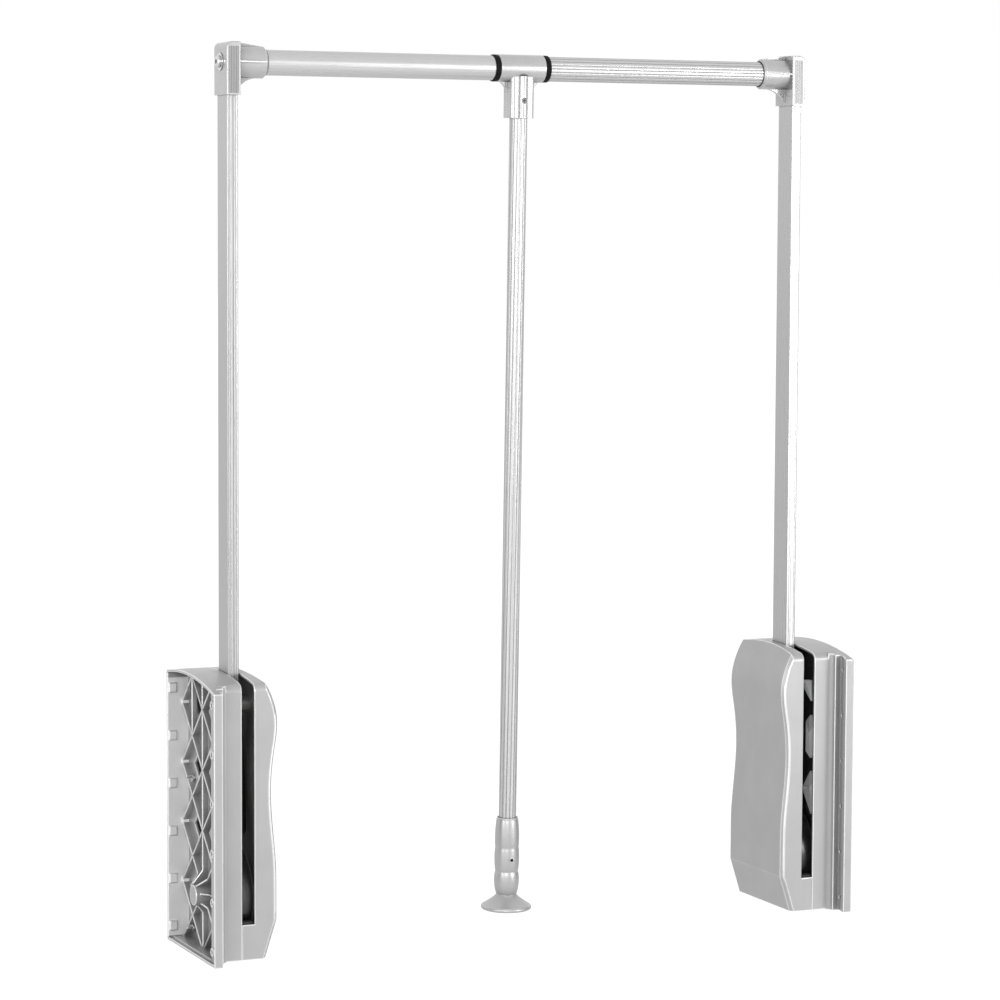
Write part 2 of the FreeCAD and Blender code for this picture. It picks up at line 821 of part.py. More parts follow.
def rivet_shaft(height, grow):
    return cylinder_x(
        rivet_radius + grow, hub_outer_x, hub_inner_x, swing_axis_y, swing_axis_height + height)


def arm_rivets():
    return group([rivet_shaft(height, 0.0) for height in rivet_heights])


def arm_tube():
    """The flat arm: a rectangular tube with two fine grooves down its front."""
    tube = arm_block(0.0, arm_foot, arm_head)
    tube = tube.makeFillet(arm_corner, upright_edges(tube, arm_foot, arm_head))
    bore = box(
        arm_x + arm_wall, arm_x + arm_thickness - arm_wall, arm_front + arm_wall, arm_rear - arm_wall,
        arm_foot - overlap, arm_head + overlap)
    cuts = [bore]
    for side in (-1, 1):
        x = arm_middle_x + side * arm_thickness / 4
        half = arm_groove_width / 2
        cuts.append(box(
            x - half, x + half, arm_front - overlap, arm_front + arm_groove_depth,
            arm_foot - overlap, arm_head + overlap))
    cuts = cuts + [rivet_shaft(height, seat_clearance) for height in rivet_heights]
    cuts.append(cylinder_x(cap_screw_radius + seat_clearance, 0, rail_start_x, swing_axis_y, rail_height))
    return tube.cut(cuts)


# ---- gas strut ----
def lever_pin_shaft(grow):
    end = strut_high_x + moving_gap + lever_clip_thickness
    return cylinder_x(lever_pin_radius + grow, lever_pin_seat_x - grow, end, lever_pin_y, lever_pin_height)


def lever_pin():
    """The hub's pin that drives the strut, with its end clip."""
    clip_start = strut_high_x + moving_gap
    clip = cylinder_x(
        lever_clip_radius, clip_start, clip_start + lever_clip_thickness, lever_pin_y, lever_pin_height)
    return joined([lever_pin_shaft(0.0), clip])


def along_strut(shape):
    """Hangs a shape drawn straight down from the origin on the anchor, at the strut's rest tilt."""
    shape.rotate(Vector(0, 0, 0), Vector(1, 0, 0), strut_tilt)
    shape.translate(Vector(0, anchor_y, anchor_height))
    return shape


def strut_eye_hole(radius, z):
    return cylinder_x(radius, strut_low_x - overlap, strut_high_x + overlap, 0, z)


def strut_cylinder():
    """The strut's closed cylinder with its top eye and the gland that the rod runs in."""
    head = -strut_neck_length
    tube = cylinder_z(strut_cylinder_radius, strut_foot, head, strut_x, 0)
    end_rims = [edge for edge in tube.Edges if edge.BoundBox.ZLength < smallest_length]
    tube = tube.makeChamfer(strut_end_bevel, end_rims)
    neck = cylinder_z(strut_neck_radius, head - overlap, -anchor_pin_radius - overlap, strut_x, 0)
    eye = cylinder_x(anchor_pin_radius + anchor_eye_wall, strut_low_x, strut_high_x, 0, 0)
    bore_foot = strut_foot + strut_end_wall
    bore = cylinder_z(strut_cylinder_bore, bore_foot, head - strut_end_wall, strut_x, 0)
    gland = cylinder_z(
        strut_rod_radius + running_clearance, strut_foot - overlap, bore_foot + overlap, strut_x, 0)
    hole = strut_eye_hole(anchor_pin_radius + running_clearance, 0)
    return along_strut(joined([tube, neck, eye]).cut([bore, gland, hole]))


def strut_rod():
    """The strut's rod with its piston and the open eye round the hub's pin."""
    piston_foot = strut_foot + strut_end_wall + strut_piston_gap
    piston = cylinder_z(
        strut_cylinder_bore - sliding_clearance, piston_foot, piston_foot + strut_piston_length, strut_x, 0)
    shank = cylinder_z(strut_rod_radius, -strut_length, piston_foot + overlap, strut_x, 0)
    eye = cylinder_x(strut_rod_eye_radius, strut_low_x, strut_high_x, 0, -strut_length)
    hole = strut_eye_hole(lever_pin_radius + lever_pin_play, -strut_length)
    return along_strut(joined([piston, shank, eye]).cut(hole))


def anchor_pin_solid(grow):
    """The strut's fixed pin: a stout shoulder from the web, then the journal into the cover."""
    shoulder_end = strut_low_x - sliding_clearance
    end = strut_high_x + moving_gap + anchor_eye_wall
    shoulder = cylinder_x(
        anchor_shoulder_radius + grow, web_x + overlap - grow, shoulder_end, anchor_y, anchor_height)
    journal = cylinder_x(
        anchor_pin_radius + grow, web_x + anchor_journal_lead, end + grow, anchor_y, anchor_height)
    return joined([shoulder, journal])


def anchor_seat():
    return anchor_pin_solid(seat_clearance)


# ---- corner bracket and rail ----
def bracket_gussets():
    """The slanting rib over the socket and the curved one under it."""
    half = gusset_thickness / 2
    y0 = swing_axis_y - half
    end_x = bracket_inner_x + bracket_socket_length - bracket_socket_bevel
    socket_top = rail_height + bracket_socket_radius
    socket_foot = rail_height - bracket_socket_radius
    over = prism([
        Vector(bracket_inner_x - overlap, y0, bracket_top),
        Vector(bracket_inner_x + gusset_root, y0, bracket_top),
        Vector(end_x, y0, socket_top - overlap / 2),
        Vector(bracket_inner_x - overlap, y0, socket_top - gusset_root),
    ], Vector(0, gusset_thickness, 0))
    reach = bracket_socket_length - bracket_socket_bevel
    foot = Vector(bracket_inner_x, y0, rail_height - gusset_drop)
    tip = Vector(bracket_inner_x + reach, y0, socket_foot)
    belly = Vector(bracket_inner_x + reach * gusset_curve_reach, y0, socket_foot - gusset_curve_drop)
    inside = Vector(bracket_inner_x - overlap, y0, socket_foot + gusset_root)
    inside_tip = Vector(bracket_inner_x + reach, y0, socket_foot + overlap)
    inside_foot = Vector(bracket_inner_x - overlap, y0, rail_height - gusset_drop)
    under = Part.Face(Part.Wire([
        Part.Arc(foot, belly, tip).toShape(),
        Part.makeLine(tip, inside_tip),
        Part.makeLine(inside_tip, inside),
        Part.makeLine(inside, inside_foot),
        Part.makeLine(inside_foot, foot),
    ])).extrude(Vector(0, gusset_thickness, 0))
    return [over, under]


def corner_bracket():
    """The corner piece: a box over the arm's head and a round socket for the rail."""
    front = swing_axis_y - bracket_depth / 2
    rear = swing_axis_y + bracket_depth / 2
    body = box(bracket_x, bracket_inner_x, front, rear, bracket_bottom, bracket_top)
    top_edges = []
    for edge in body.Edges:
        bounds = edge.BoundBox
        if bounds.ZMin > bracket_top - smallest_length and bounds.XMax < bracket_x + smallest_length:
            top_edges.append(edge)
    body = body.makeFillet(bracket_top_radius, top_edges)
    body = body.makeFillet(bracket_edge_radius, upright_edges(body, bracket_bottom, bracket_top))
    socket_end = bracket_inner_x + bracket_socket_length
    socket = cylinder_x(
        bracket_socket_radius, bracket_inner_x - overlap, socket_end, swing_axis_y, rail_height)
    socket = socket.makeChamfer(bracket_socket_bevel, [
        edge for edge in socket.Edges if edge.BoundBox.XMin > socket_end - smallest_length])
    half_seam = bracket_seam_height / 2
    seam_reach = bracket_socket_radius + bracket_seam_depth
    seam = box(
        bracket_inner_x - overlap, socket_end - bracket_socket_bevel - overlap, swing_axis_y - seam_reach,
        swing_axis_y + seam_reach, rail_height - half_seam, rail_height + half_seam)
    solid = joined([body, socket, seam] + bracket_gussets())
    pocket = arm_block(seat_clearance, bracket_bottom - overlap, arm_head + seat_clearance)
    bore = cylinder_x(
        rail_radius + seat_clearance, rail_start_x - seat_clearance, socket_end + overlap, swing_axis_y,
        rail_height)
    hole = cylinder_x(cap_screw_radius + seat_clearance, 0, socket_end, swing_axis_y, rail_height)
    return solid.cut([pocket, bore, hole])


def rail_cap_screw():
    """The round-headed screw through bracket and arm into the rail's end plug."""
    head_x = bracket_x - cap_height
    head = cylinder_x(cap_radius, head_x, bracket_x, swing_axis_y, rail_height)
    front_rim = [edge for edge in head.Edges if edge.BoundBox.XMax < head_x + smallest_length]
    head = head.makeFillet(cap_round, front_rim)
    washer = cylinder_x(
        cap_flange_radius, bracket_x - cap_flange_thickness, bracket_x, swing_axis_y, rail_height)
    plug_end = rail_start_x + rail_plug_length
    shank = cylinder_x(cap_screw_radius, bracket_x - overlap, plug_end, swing_axis_y, rail_height)
    corners = []
    for index in range(6):
        turn = math.radians(60 * index)
        y = swing_axis_y + cap_socket_radius * math.cos(turn)
        corners.append(Vector(head_x - overlap, y, rail_height + cap_socket_radius * math.sin(turn)))
    socket = prism(corners, Vector(cap_socket_depth + overlap, 0, 0))
    return joined([head, washer, shank]).cut(socket)


def rail_plug():
    """The plug in the rail's end that the cap screw bites into."""
    start = rail_start_x + seat_clearance
    radius = rail_radius - rail_wall - seat_clearance
    plug = cylinder_x(radius, start, start + rail_plug_length, swing_axis_y, rail_height)
    hole = cylinder_x(cap_screw_radius + seat_clearance, 0, closet_width / 2, swing_axis_y, rail_height)
    return plug.cut(hole)


def rail_tube():
    """One outer tube of the telescopic rail."""
    tube = cylinder_x(rail_radius, rail_start_x, ring_x, swing_axis_y, rail_height)
    bore = cylinder_x(rail_radius - rail_wall, rail_start_x, ring_x, swing_axis_y, rail_height)
    return tube.cut(bore)


def rail_ring():
    """The black end ring of an outer tube, whose spigot guides the inner tube."""
    collar = cylinder_x(ring_radius, ring_x, ring_x + ring_width, swing_axis_y, rail_height)
    collar = collar.makeFillet(rail_edge_radius, end_edges(collar))
    spigot_radius = rail_radius - rail_wall - seat_clearance
    spigot = cylinder_x(
        spigot_radius, ring_x - ring_spigot_length, ring_x + overlap, swing_axis_y, rail_height)
    bore = cylinder_x(
        inner_tube_radius + running_clearance, 0, closet_width / 2, swing_axis_y, rail_height)
    return joined([collar, spigot]).cut(bore)


# ---- middle of the rail, in the row's own frame ----
def inner_rail_tube():
    half = inner_tube_length / 2
    tube = cylinder_x(inner_tube_radius, -half, half, swing_axis_y, rail_height)
    bore = cylinder_x(inner_tube_radius - inner_tube_wall, -half, half, swing_axis_y, rail_height)
    return tube.cut(bore)


def inner_rail_sliders():
    """The two slide rings at the inner tube's ends, inside the outer tubes."""
    rings = []
    half = inner_tube_length / 2
    for x0 in (-half, half - slider_length):
        outer = rail_radius - rail_wall - sliding_clearance
        ring = cylinder_x(outer, x0, x0 + slider_length, swing_axis_y, rail_height)
        bore = cylinder_x(inner_tube_radius, x0, x0 + slider_length, swing_axis_y, rail_height)
        rings.append(ring.cut(bore))
    return group(rings)


def tee_solid():
    """The tee on the rail before it is split: sleeve, neck, screw column and side webs."""
    half = tee_length / 2
    sleeve = cylinder_x(tee_radius, -half, half, swing_axis_y, rail_height)
    sleeve = sleeve.makeFillet(rail_edge_radius, end_edges(sleeve))
    neck = box(
        -neck_width / 2, neck_width / 2, swing_axis_y - neck_depth / 2, swing_axis_y + neck_depth / 2,
        neck_bottom, rail_height)
    neck = neck.makeFillet(neck_corner, upright_edges(neck, neck_bottom, rail_height))
    column_top = rail_height - tee_radius + column_radius + overlap
    column = cylinder_z(
        column_radius, neck_bottom, column_top, 0, swing_axis_y - column_offset + column_radius / 2)
    half_web = gusset_thickness / 2
    web_top = rail_height - tee_radius + 2 * overlap
    web_foot = rail_height - tee_radius - tee_gusset_drop + gusset_thickness
    foot_x = neck_width / 2 - overlap
    belly_x = (tee_gusset_reach + foot_x) / 2 - tee_gusset_hollow
    belly_z = (web_top + web_foot) / 2 + tee_gusset_hollow
    web_y = swing_axis_y - half_web
    ends = {}
    for side in (-1, 1):
        tip = Vector(side * tee_gusset_reach, web_y, web_top)
        belly = Vector(side * belly_x, web_y, belly_z)
        foot = Vector(side * foot_x, web_y, web_foot)
        ends[side] = (tip, foot, Part.Arc(tip, belly, foot).toShape())
    web = Part.Face(Part.Wire([
        Part.makeLine(ends[-1][0], ends[1][0]),
        ends[1][2],
        Part.makeLine(ends[1][1], ends[-1][1]),
        ends[-1][2],
    ])).extrude(Vector(0, gusset_thickness, 0))
    bore = cylinder_x(inner_tube_radius + running_clearance, -half, half, swing_axis_y, rail_height)
    rod_seat = cylinder_z(
        pull_rod_radius + seat_clearance, neck_bottom - overlap, pull_rod_top + seat_clearance,
        0, swing_axis_y)
    return joined([sleeve, neck, column, web]).cut([bore, rod_seat, tee_screw_shape(seat_clearance)])


def tee_screw_face():
    """The y of the tee screw's head, sunk into the column's front."""
    return swing_axis_y - column_offset - column_radius / 2 + tee_screw_sink


def tee_screw_shape(grow):
    """The screw through the tee's column, the rod and the rear half."""
    face = tee_screw_face()
    under_head = face + tee_screw_head_height
    end = swing_axis_y + neck_depth / 2 - tee_screw_end_wall
    head = cylinder_y(tee_screw_head_radius + grow, face, under_head + grow, 0, tee_screw_height)
    shank = cylinder_y(tee_screw_radius + grow, face + overlap, end, 0, tee_screw_height)
    if grow:
        mouth = cylinder_y(
            tee_screw_head_radius + grow, face - 2 * tee_screw_head_height, face + overlap, 0,
            tee_screw_height)
        return joined([head, shank, mouth])
    return joined([head, shank])


def tee_half(front_half):
    """The tee's front or rear half, parted on the rail's middle plane."""
    reach = tee_half_reach
    y0 = swing_axis_y
    y1 = swing_axis_y + reach
    if front_half:
        y0 = swing_axis_y - reach
        y1 = swing_axis_y
    room = box(-reach, reach, y0, y1, rail_height - reach, rail_height + reach)
    return tee_solid().common(room)


def tee_screw():
    screw = tee_screw_shape(0.0)
    face = tee_screw_face()
    z = tee_screw_height
    long = tee_cross_half_length
    short = tee_cross_half_width
    for half_x, half_z in ((long, short), (short, long)):
        screw = screw.cut(box(-half_x, half_x, face - overlap, face + overlap, z - half_z, z + half_z))
    return screw


def pull_rod():
    """The round tube between the tee and the grip."""
    foot = grip_top - grip_socket_depth
    tube = cylinder_z(pull_rod_radius, foot, pull_rod_top, 0, swing_axis_y)
    bore = cylinder_z(pull_rod_radius - pull_rod_wall, foot, pull_rod_top, 0, swing_axis_y)
    tee_hole = cylinder_y(
        tee_screw_radius + seat_clearance, arm_front, arm_rear, 0, tee_screw_height)
    return tube.cut([bore, tee_hole, grip_screw_shape(seat_clearance)])


def grip_profile():
    """The grip's turned outline: swells, waists, neck, bell and disc, as one smooth side."""
    swells = [(grip_swell_radius, z) for z in grip_swell_heights]
    waists = [(grip_waist_radius, z) for z in grip_waist_heights]
    points = [(grip_end_radius, grip_top)]
    for index, swell in enumerate(swells):
        points.append(swell)
        if index < len(waists):
            points.append(waists[index])
    points.append((grip_neck_radius, grip_neck_height))
    side = Part.BSplineCurve()
    side.interpolate([Vector(radius, 0, z) for radius, z in points])
    foot_radius = disc_radius - disc_foot_round
    return Part.Wire([
        Part.makeLine(Vector(0, 0, grip_top), Vector(grip_end_radius, 0, grip_top)),
        side.toShape(),
        Part.makeLine(Vector(grip_neck_radius, 0, grip_neck_height), Vector(bell_radius, 0, bell_height)),
        Part.Arc(
            Vector(bell_radius, 0, bell_height), Vector(disc_radius, 0, disc_rim_height),
            Vector(foot_radius, 0, grip_bottom)).toShape(),
        Part.makeLine(Vector(foot_radius, 0, grip_bottom), Vector(0, 0, grip_bottom)),
        Part.makeLine(Vector(0, 0, grip_bottom), Vector(0, 0, grip_top)),
    ])


def handle_grip():
    """The moulded grip with a socket for the pull rod and a broad foot."""
    body = Part.Face(grip_profile()).revolve(Vector(0, 0, 0), Vector(0, 0, 1), 360)
    body.translate(Vector(0, swing_axis_y, 0))
    socket = cylinder_z(
        pull_rod_radius + seat_clearance, grip_top - grip_socket_depth - seat_clearance, grip_top + overlap,
        0, swing_axis_y)
    return body.cut([socket, grip_screw_shape(seat_clearance)])


def grip_screw_shape(grow):
    front = swing_axis_y - grip_swell_radius
    face = front + grip_screw_sink
    end = swing_axis_y - pull_rod_radius + pull_rod_wall + grip_screw_bite
    shank = cylinder_y(grip_screw_radius + grow, face, end, 0, grip_screw_height)
    if grow:
        mouth = cylinder_y(grip_screw_radius + grow, front - overlap, face + overlap, 0, grip_screw_height)
        return joined([shank, mouth])
    return shank


def grip_screw():
    face = swing_axis_y - grip_swell_radius + grip_screw_sink
    recess = cylinder_y(
        grip_screw_recess_radius, face - overlap, face + grip_screw_recess_depth, 0, grip_screw_height)
    return grip_screw_shape(0.0).cut(recess)


def leaned(shape):
    """The handle hangs from the rail with its foot a little to the rear."""
    shape.rotate(Vector(0, swing_axis_y, rail_height), Vector(1, 0, 0), handle_lean)
    return shape


# ---- placing and writing ----
def placed_left(shape):
    copy = shape.copy()
    copy.translate(Vector(-closet_width / 2, 0, 0))
    return copy


def placed_right(shape):
    copy = shape.mirror(Vector(0, 0, 0), Vector(1, 0, 0))
    copy.translate(Vector(closet_width / 2, 0, 0))
    return copy


def side_pieces():
    """Every piece of one side, with x counted inward from the closet side."""
    return {
        "housing_base": housing_base(),
        "housing_cover": housing_cover(),
        "case_screws": case_screws(),
        "liner_plate": liner_plate(),
        "rear_stop": rear_stop(),
        "front_bumper": front_bumper(),
        "pivot_axle": pivot_axle(),
        "pivot_bushes": pivot_bushes(),
        "arm_hub": arm_hub(),
        "arm_rivets": arm_rivets(),
        "arm_tube": arm_tube(),
        "lever_pin": lever_pin(),
        "strut_cylinder": strut_cylinder(),
        "strut_rod": strut_rod(),
        "strut_anchor_pin": anchor_pin_solid(0.0),
        "corner_bracket": corner_bracket(),
        "rail_cap_screw": rail_cap_screw(),
        "rail_plug": rail_plug(),
        "rail_tube": rail_tube(),
        "rail_ring": rail_ring(),
    }


def middle_pieces():
    """The inner rail and the handle, which are on the middle plane."""
    return {
        "inner_rail_tube": inner_rail_tube(),
        "inner_rail_sliders": inner_rail_sliders(),
        "tee_front": leaned(tee_half(True)),
        "tee_rear": leaned(tee_half(False)),
        "tee_screw": leaned(tee_screw()),
        "pull_rod": leaned(pull_rod()),
        "handle_grip": leaned(handle_grip()),
        "grip_screw": leaned(grip_screw()),
    }


def write_parts():
    os.makedirs("parts", exist_ok=True)
    pieces = middle_pieces()
    for name, shape in side_pieces().items():
        pieces["left_" + name] = placed_left(shape)
        pieces["right_" + name] = placed_right(shape)
    for name, shape in sorted(pieces.items()):
        shape.exportStep("parts/" + name + ".step")


write_parts()
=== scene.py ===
"""Pull down closet rod: finishes, turned and fluted pieces, plain stage.

Metres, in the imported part's own frame: X along the rail, -Y to the user, Z up.
"""
import math

import bmesh
import bpy
import numpy as np
from bpy.props import FloatProperty, FloatVectorProperty, IntProperty, PointerProperty
from mathutils import Matrix, Vector


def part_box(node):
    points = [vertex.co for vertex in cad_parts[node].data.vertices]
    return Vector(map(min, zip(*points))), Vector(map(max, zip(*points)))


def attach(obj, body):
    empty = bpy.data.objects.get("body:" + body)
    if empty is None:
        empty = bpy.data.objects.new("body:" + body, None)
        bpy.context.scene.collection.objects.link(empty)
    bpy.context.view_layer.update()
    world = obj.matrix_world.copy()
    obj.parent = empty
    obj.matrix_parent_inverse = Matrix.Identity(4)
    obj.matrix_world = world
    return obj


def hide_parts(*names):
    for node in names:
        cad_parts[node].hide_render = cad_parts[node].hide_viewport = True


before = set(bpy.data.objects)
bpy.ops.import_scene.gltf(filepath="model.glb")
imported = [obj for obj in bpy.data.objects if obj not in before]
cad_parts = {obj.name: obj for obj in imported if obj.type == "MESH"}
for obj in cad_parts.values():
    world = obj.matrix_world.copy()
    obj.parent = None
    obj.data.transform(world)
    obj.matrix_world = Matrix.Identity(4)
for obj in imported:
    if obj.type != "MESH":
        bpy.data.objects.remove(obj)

bl_info = {
    "name": "Pull Down Closet Rod",
    "version": (1, 0, 0),
    "blender": (4, 5, 0),
    "location": "3D View > Sidebar > Closet Rod",
    "description": "Finishes the moulded, extruded and turned pieces of a pull down closet rod",
    "category": "Object",
}

TURN = 2 * math.pi

# The two sides, each with the direction along X from it to the middle.
SIDES = {"left": 1.0, "right": -1.0}


# ---------------------------------------------------------------- sizes of the small pieces

# Each window beside the arm, with facets painted near-white as a painted light: its outline and top,
# as (rise off the liner plate, y, z), and the painted shade of the facet at each edge of the outline, 0
# to 1.
WINDOWS = (
    (((0.0065, -0.025, 0.240), (0.0020, -0.032, 0.240), (0.0020, -0.034, 0.218),
      (0.0060, -0.027, 0.230)),
     (0.0042, -0.030, 0.233),
     (0.1, 0.2, 0.6, 0.4)),
    (((0.0025, -0.034, 0.204), (0.0005, -0.041, 0.197), (0.0005, -0.041, 0.167),
      (0.0025, -0.035, 0.158), (0.0050, -0.029, 0.165), (0.0050, -0.029, 0.197)),
     (0.0045, -0.034, 0.185),
     (0.5, 0.0, 0.1, 0.3, 0.0, 0.9)),
    (((0.0025, -0.035, 0.145), (0.0005, -0.043, 0.138), (0.0005, -0.044, 0.107),
      (0.0025, -0.037, 0.099), (0.0065, -0.027, 0.123), (0.0065, -0.027, 0.128)),
     (0.0045, -0.037, 0.128),
     (0.5, 0.0, 0.2, 0.5, 0.0, 0.7)),
)
FACET_SHARE = 0.97          # what each facet fills of its own place, so that gaps part them
SHEET_THICKNESS = 0.0002    # the black sheet between the windows
SHEET_DEPTHS = (-0.0475, 0.0200)
SHEET_HEIGHTS = (0.1080, 0.2580)

# The bead beside the cover's wavy front edge, painted near-white: a painted highlight along the bevel.
# Every point of that edge lies further from the closet side than LEAST_WAVE, which tells it from the
# other points of the cover's front.
BEAD_HEIGHTS = (0.031, 0.243)
BEAD_HALF_WIDTH = 0.00115
BEAD_HALF_HEIGHT = 0.00065
BEAD_INSET = 0.0009
BEAD_TAPERS = 12            # it tapers over a twelfth of its length at each end
BEAD_LEAST = 0.02           # the share of its width that is left at the very end
LEAST_WAVE = 0.0535

# The brackets: reeds within margins of the front face, and a rib that tapers along the socket.
REED_COUNT = 4
REED_RISE = 0.00003
REED_SIDE_MARGIN = 0.0006
REED_FOOT_MARGIN = 0.0015
REED_HEAD_MARGIN = 0.0045
RIB_START = 0.0140          # from the bracket's outer face
RIB_END = 0.0024            # short of the socket's mouth
RIB_HALF_HEIGHT = 0.0007
RIB_PLATE_DEPTH = 0.0005    # behind the bracket's front, at the plate
RIB_MOUTH_DEPTH = 0.0027    # and at the mouth
RIB_ROOT_DEPTH = 0.0048     # and at the root, within the socket's wall

# The tubes, and the black ring in a socket's mouth, a painted shadow of the gap there, as (distance out
# of the mouth, radius).
RAIL_WALL = 0.0010
ROD_WALL = 0.0012
ROD_ROWS = 80
ROD_END_GAP = 0.0003
MOUTH_SHADOW_RING = ((0.00005, 0.01248), (0.00035, 0.0126), (0.00035, 0.0132), (0.00005, 0.01335))

# The grip, as (height, radius) from the lip at its head down to the foot and up the bore.
GRIP_LIP = ((0.1072, 0.0094), (0.1079, 0.0099), (0.1079, 0.0107), (0.1072, 0.0111))
GRIP_WAISTS = ((0.1065, 0.0110), (0.0767, 0.0120), (0.0517, 0.0117), (0.0285, 0.0105))
GRIP_SWELLS = (0.0009, 0.0009, 0.0017)
BELL_HEAD = (0.0275, 0.0105)
BELL_DROP = 0.0110
BELL_SPREAD = 0.0145
BELL_POWER = 1.25
RIM_MIDDLE = (0.0145, 0.0246)
RIM_HALF_HEIGHT = 0.0020
RIM_HALF_WIDTH = 0.0014
GRIP_UNDERSIDE = ((0.0122, 0.0225), (0.0120, 0.0215), (0.0120, 0.0004))
GRIP_BORE = ((0.0470, 0.0004), (0.0470, 0.0090), (0.1060, 0.0091))

# The grip's screw: the collar as (distance off the face, radius), and the dark well in it.
GRIP_SCREW_HEIGHT = 0.0650
GRIP_SCREW_FACE = 0.01272   # from the grip's middle line
COLLAR = ((-0.0008, 0.0027), (0.0001, 0.0026), (0.0002, 0.0018), (-0.0003, 0.0016), (-0.0008, 0.0016))
WELL_RADIUS = 0.0016
WELL_REACH = (-0.0009, 0.0003)
SCREW_SIDES = 48

# Stretches that a finish treats apart. The lines of painted groove shade down the arms' fronts are
# given as distances from the middle; the stretch of the bases' rear rim that is painted lighter, a
# painted light, as distance from the middle, depth and height.
ARM_GROOVE_SHADE = ((0.3028, 0.3037), (0.3076, 0.3084), (0.3128, 0.3134))
ARM_FRONT = (-0.0200, -0.0098)
LIGHTENED_RIM = ((0.3283, 0.3600), (0.0675, 0.0713), (0.0040, 0.2640))


# ---------------------------------------------------------------- sizes of the stage

# Each soft light: its place, its width and height, and the setting that holds its power.
LIGHTS = {
    "side_light": ((-3.3, -1.6, 0.85), (1.0, 1.6), "side_power"),
    "front_light": ((-1.5, -3.3, 1.1), (1.0, 1.0), "front_power"),
    "sheen_light": ((2.35, -3.55, 0.8), (0.9, 1.5), "sheen_power"),
}
LIGHT_AIM = (0.0, 0.0, 0.45)
FLOOR_HALF = 30.0
FLOOR_GREY = 0.9
FLOOR_GLOW = (0.74, 0.45)   # seen straight, and seen in a mirror


# ---------------------------------------------------------------- the user's settings

def colour_setting(name, description, colour):
    """A colour that the user can set."""
    return FloatVectorProperty(
        name=name, description=description, subtype="COLOR", size=3, default=colour, min=0, max=1)


def length_setting(name, description, length):
    """A length in metres that the user can set."""
    return FloatProperty(
        name=name, description=description, default=length, unit="LENGTH", precision=5)


def angle_setting(name, description, degrees):
    """An angle that the user can set."""
    return FloatProperty(
        name=name, description=description, default=math.radians(degrees), unit="ROTATION")


def power_setting(name, description, watts):
    """A light's power that the user can set."""
    return FloatProperty(name=name, description=description, default=watts, unit="POWER")


class ClosetRodSizes(bpy.types.PropertyGroup):
    """Sizes of the extruded and turned pieces."""

    flute_count: IntProperty(
        name="Rail flutes", description="Flutes round each rail tube", default=20, min=3)
    left_flute_depth: length_setting(
        "Left flute depth", "Depth of the flutes of the left rail tube", 0.00006)
    right_flute_depth: length_setting(
        "Right flute depth", "Depth of the flutes of the right rail tube", 0.0004)
    rod_flute_count: IntProperty(
        name="Pull rod flutes", description="Flutes round the pull rod", default=14, min=3)
    rod_flute_depth: length_setting(
        "Pull rod flute depth", "Depth of the flutes of the pull rod", 0.0004)
    rod_twist: angle_setting(
        "Pull rod twist", "Turn of the flutes from the foot to the head", 40)
    # Painted shade: the bottom of each flute is darkened to this share of its colour.
    valley_shade: FloatProperty(
        name="Valley shade", description="Share of its colour that the bottom of a flute keeps",
        default=0.45, min=0, max=1)
    handle_lean: angle_setting(
        "Handle lean", "Angle by which the handle's foot stands to the rear", 1.5)


class ClosetRodFinish(bpy.types.PropertyGroup):
    """Colours and the size of the rounded edges."""

    housing_colour: colour_setting(
        "Housing silver", "Colour of the moulded housings", (0.52, 0.52, 0.52))
    bracket_colour: colour_setting(
        "Bracket silver", "Colour of the corner brackets and the tee", (0.56, 0.56, 0.565))
    reed_colour: colour_setting(
        "Reed silver", "Colour of the reeds down the brackets' fronts", (0.42, 0.42, 0.42))
    arm_colour: colour_setting(
        "Arm silver", "Colour of the two swing arms", (0.55, 0.55, 0.55))
    rail_colour: colour_setting(
        "Rail silver", "Colour of the left rail tube and the inner tube", (0.62, 0.62, 0.62))
    rod_colour: colour_setting(
        "Pull rod silver", "Colour of the pull rod and the right rail tube", (0.66, 0.66, 0.66))
    grip_colour: colour_setting("Grip silver", "Colour of the grip", (0.50, 0.50, 0.50))
    # Painted highlight: this colour paints the highlights on the rounded edges, and the near-white of
    # the cover beads and the slot facets.
    highlight_colour: colour_setting(
        "Edge silver", "Colour of worn and rounded edges", (0.97, 0.97, 0.97))
    black_colour: colour_setting(
        "Black", "Colour of the black mouldings", (0.012, 0.012, 0.013))
    edge_radius: length_setting("Edge radius", "Radius of the moulded edges", 0.0018)


class ClosetRodStage(bpy.types.PropertyGroup):
    """Camera, light and floor."""

    camera_place: FloatVectorProperty(
        name="Camera", description="Place of the camera", subtype="XYZ", unit="LENGTH", size=3,
        default=(-1.3940, -3.1185, 0.7255))
    camera_yaw: angle_setting("Camera yaw", "Turn of the view to the right of +Y", 23.77)
    camera_pitch: angle_setting("Camera pitch", "Tilt of the view, upwards", -4.84)
    camera_roll: angle_setting("Camera roll", "Turn of the view round its own line", 0.27)
    camera_lens: FloatProperty(
        name="Lens", description="Focal length", default=121.95, unit="CAMERA")
    side_power: power_setting("Side light", "Power of the broad soft light on the left", 22.0)
    front_power: power_setting(
        "Front light", "Power of the small soft light beside the camera", 31.0)
    sheen_power: power_setting(
        "Sheen light", "Power of the soft light that the right fronts mirror", 43.0)
    world_strength: FloatProperty(
        name="Room light", description="Strength of the even light all round", default=0.35)
    floor_level: length_setting(
        "Floor", "Height of the floor, below the rail when it is pulled down", -0.12)


# ---------------------------------------------------------------- surfaces from arrays

def quads(rows, columns, close_rows):
    """Quads between neighbours in a grid, row i and i + 1, column j and j + 1, closed round."""
    last_row = rows if close_rows else rows - 1
    i, j = np.meshgrid(np.arange(last_row), np.arange(columns), indexing="ij")
    next_i = (i + 1) % rows
    next_j = (j + 1) % columns
    corners = (i * columns + j, i * columns + next_j, next_i * columns + next_j, next_i * columns + j)
    return np.stack(corners, axis=-1).reshape(-1, 4)


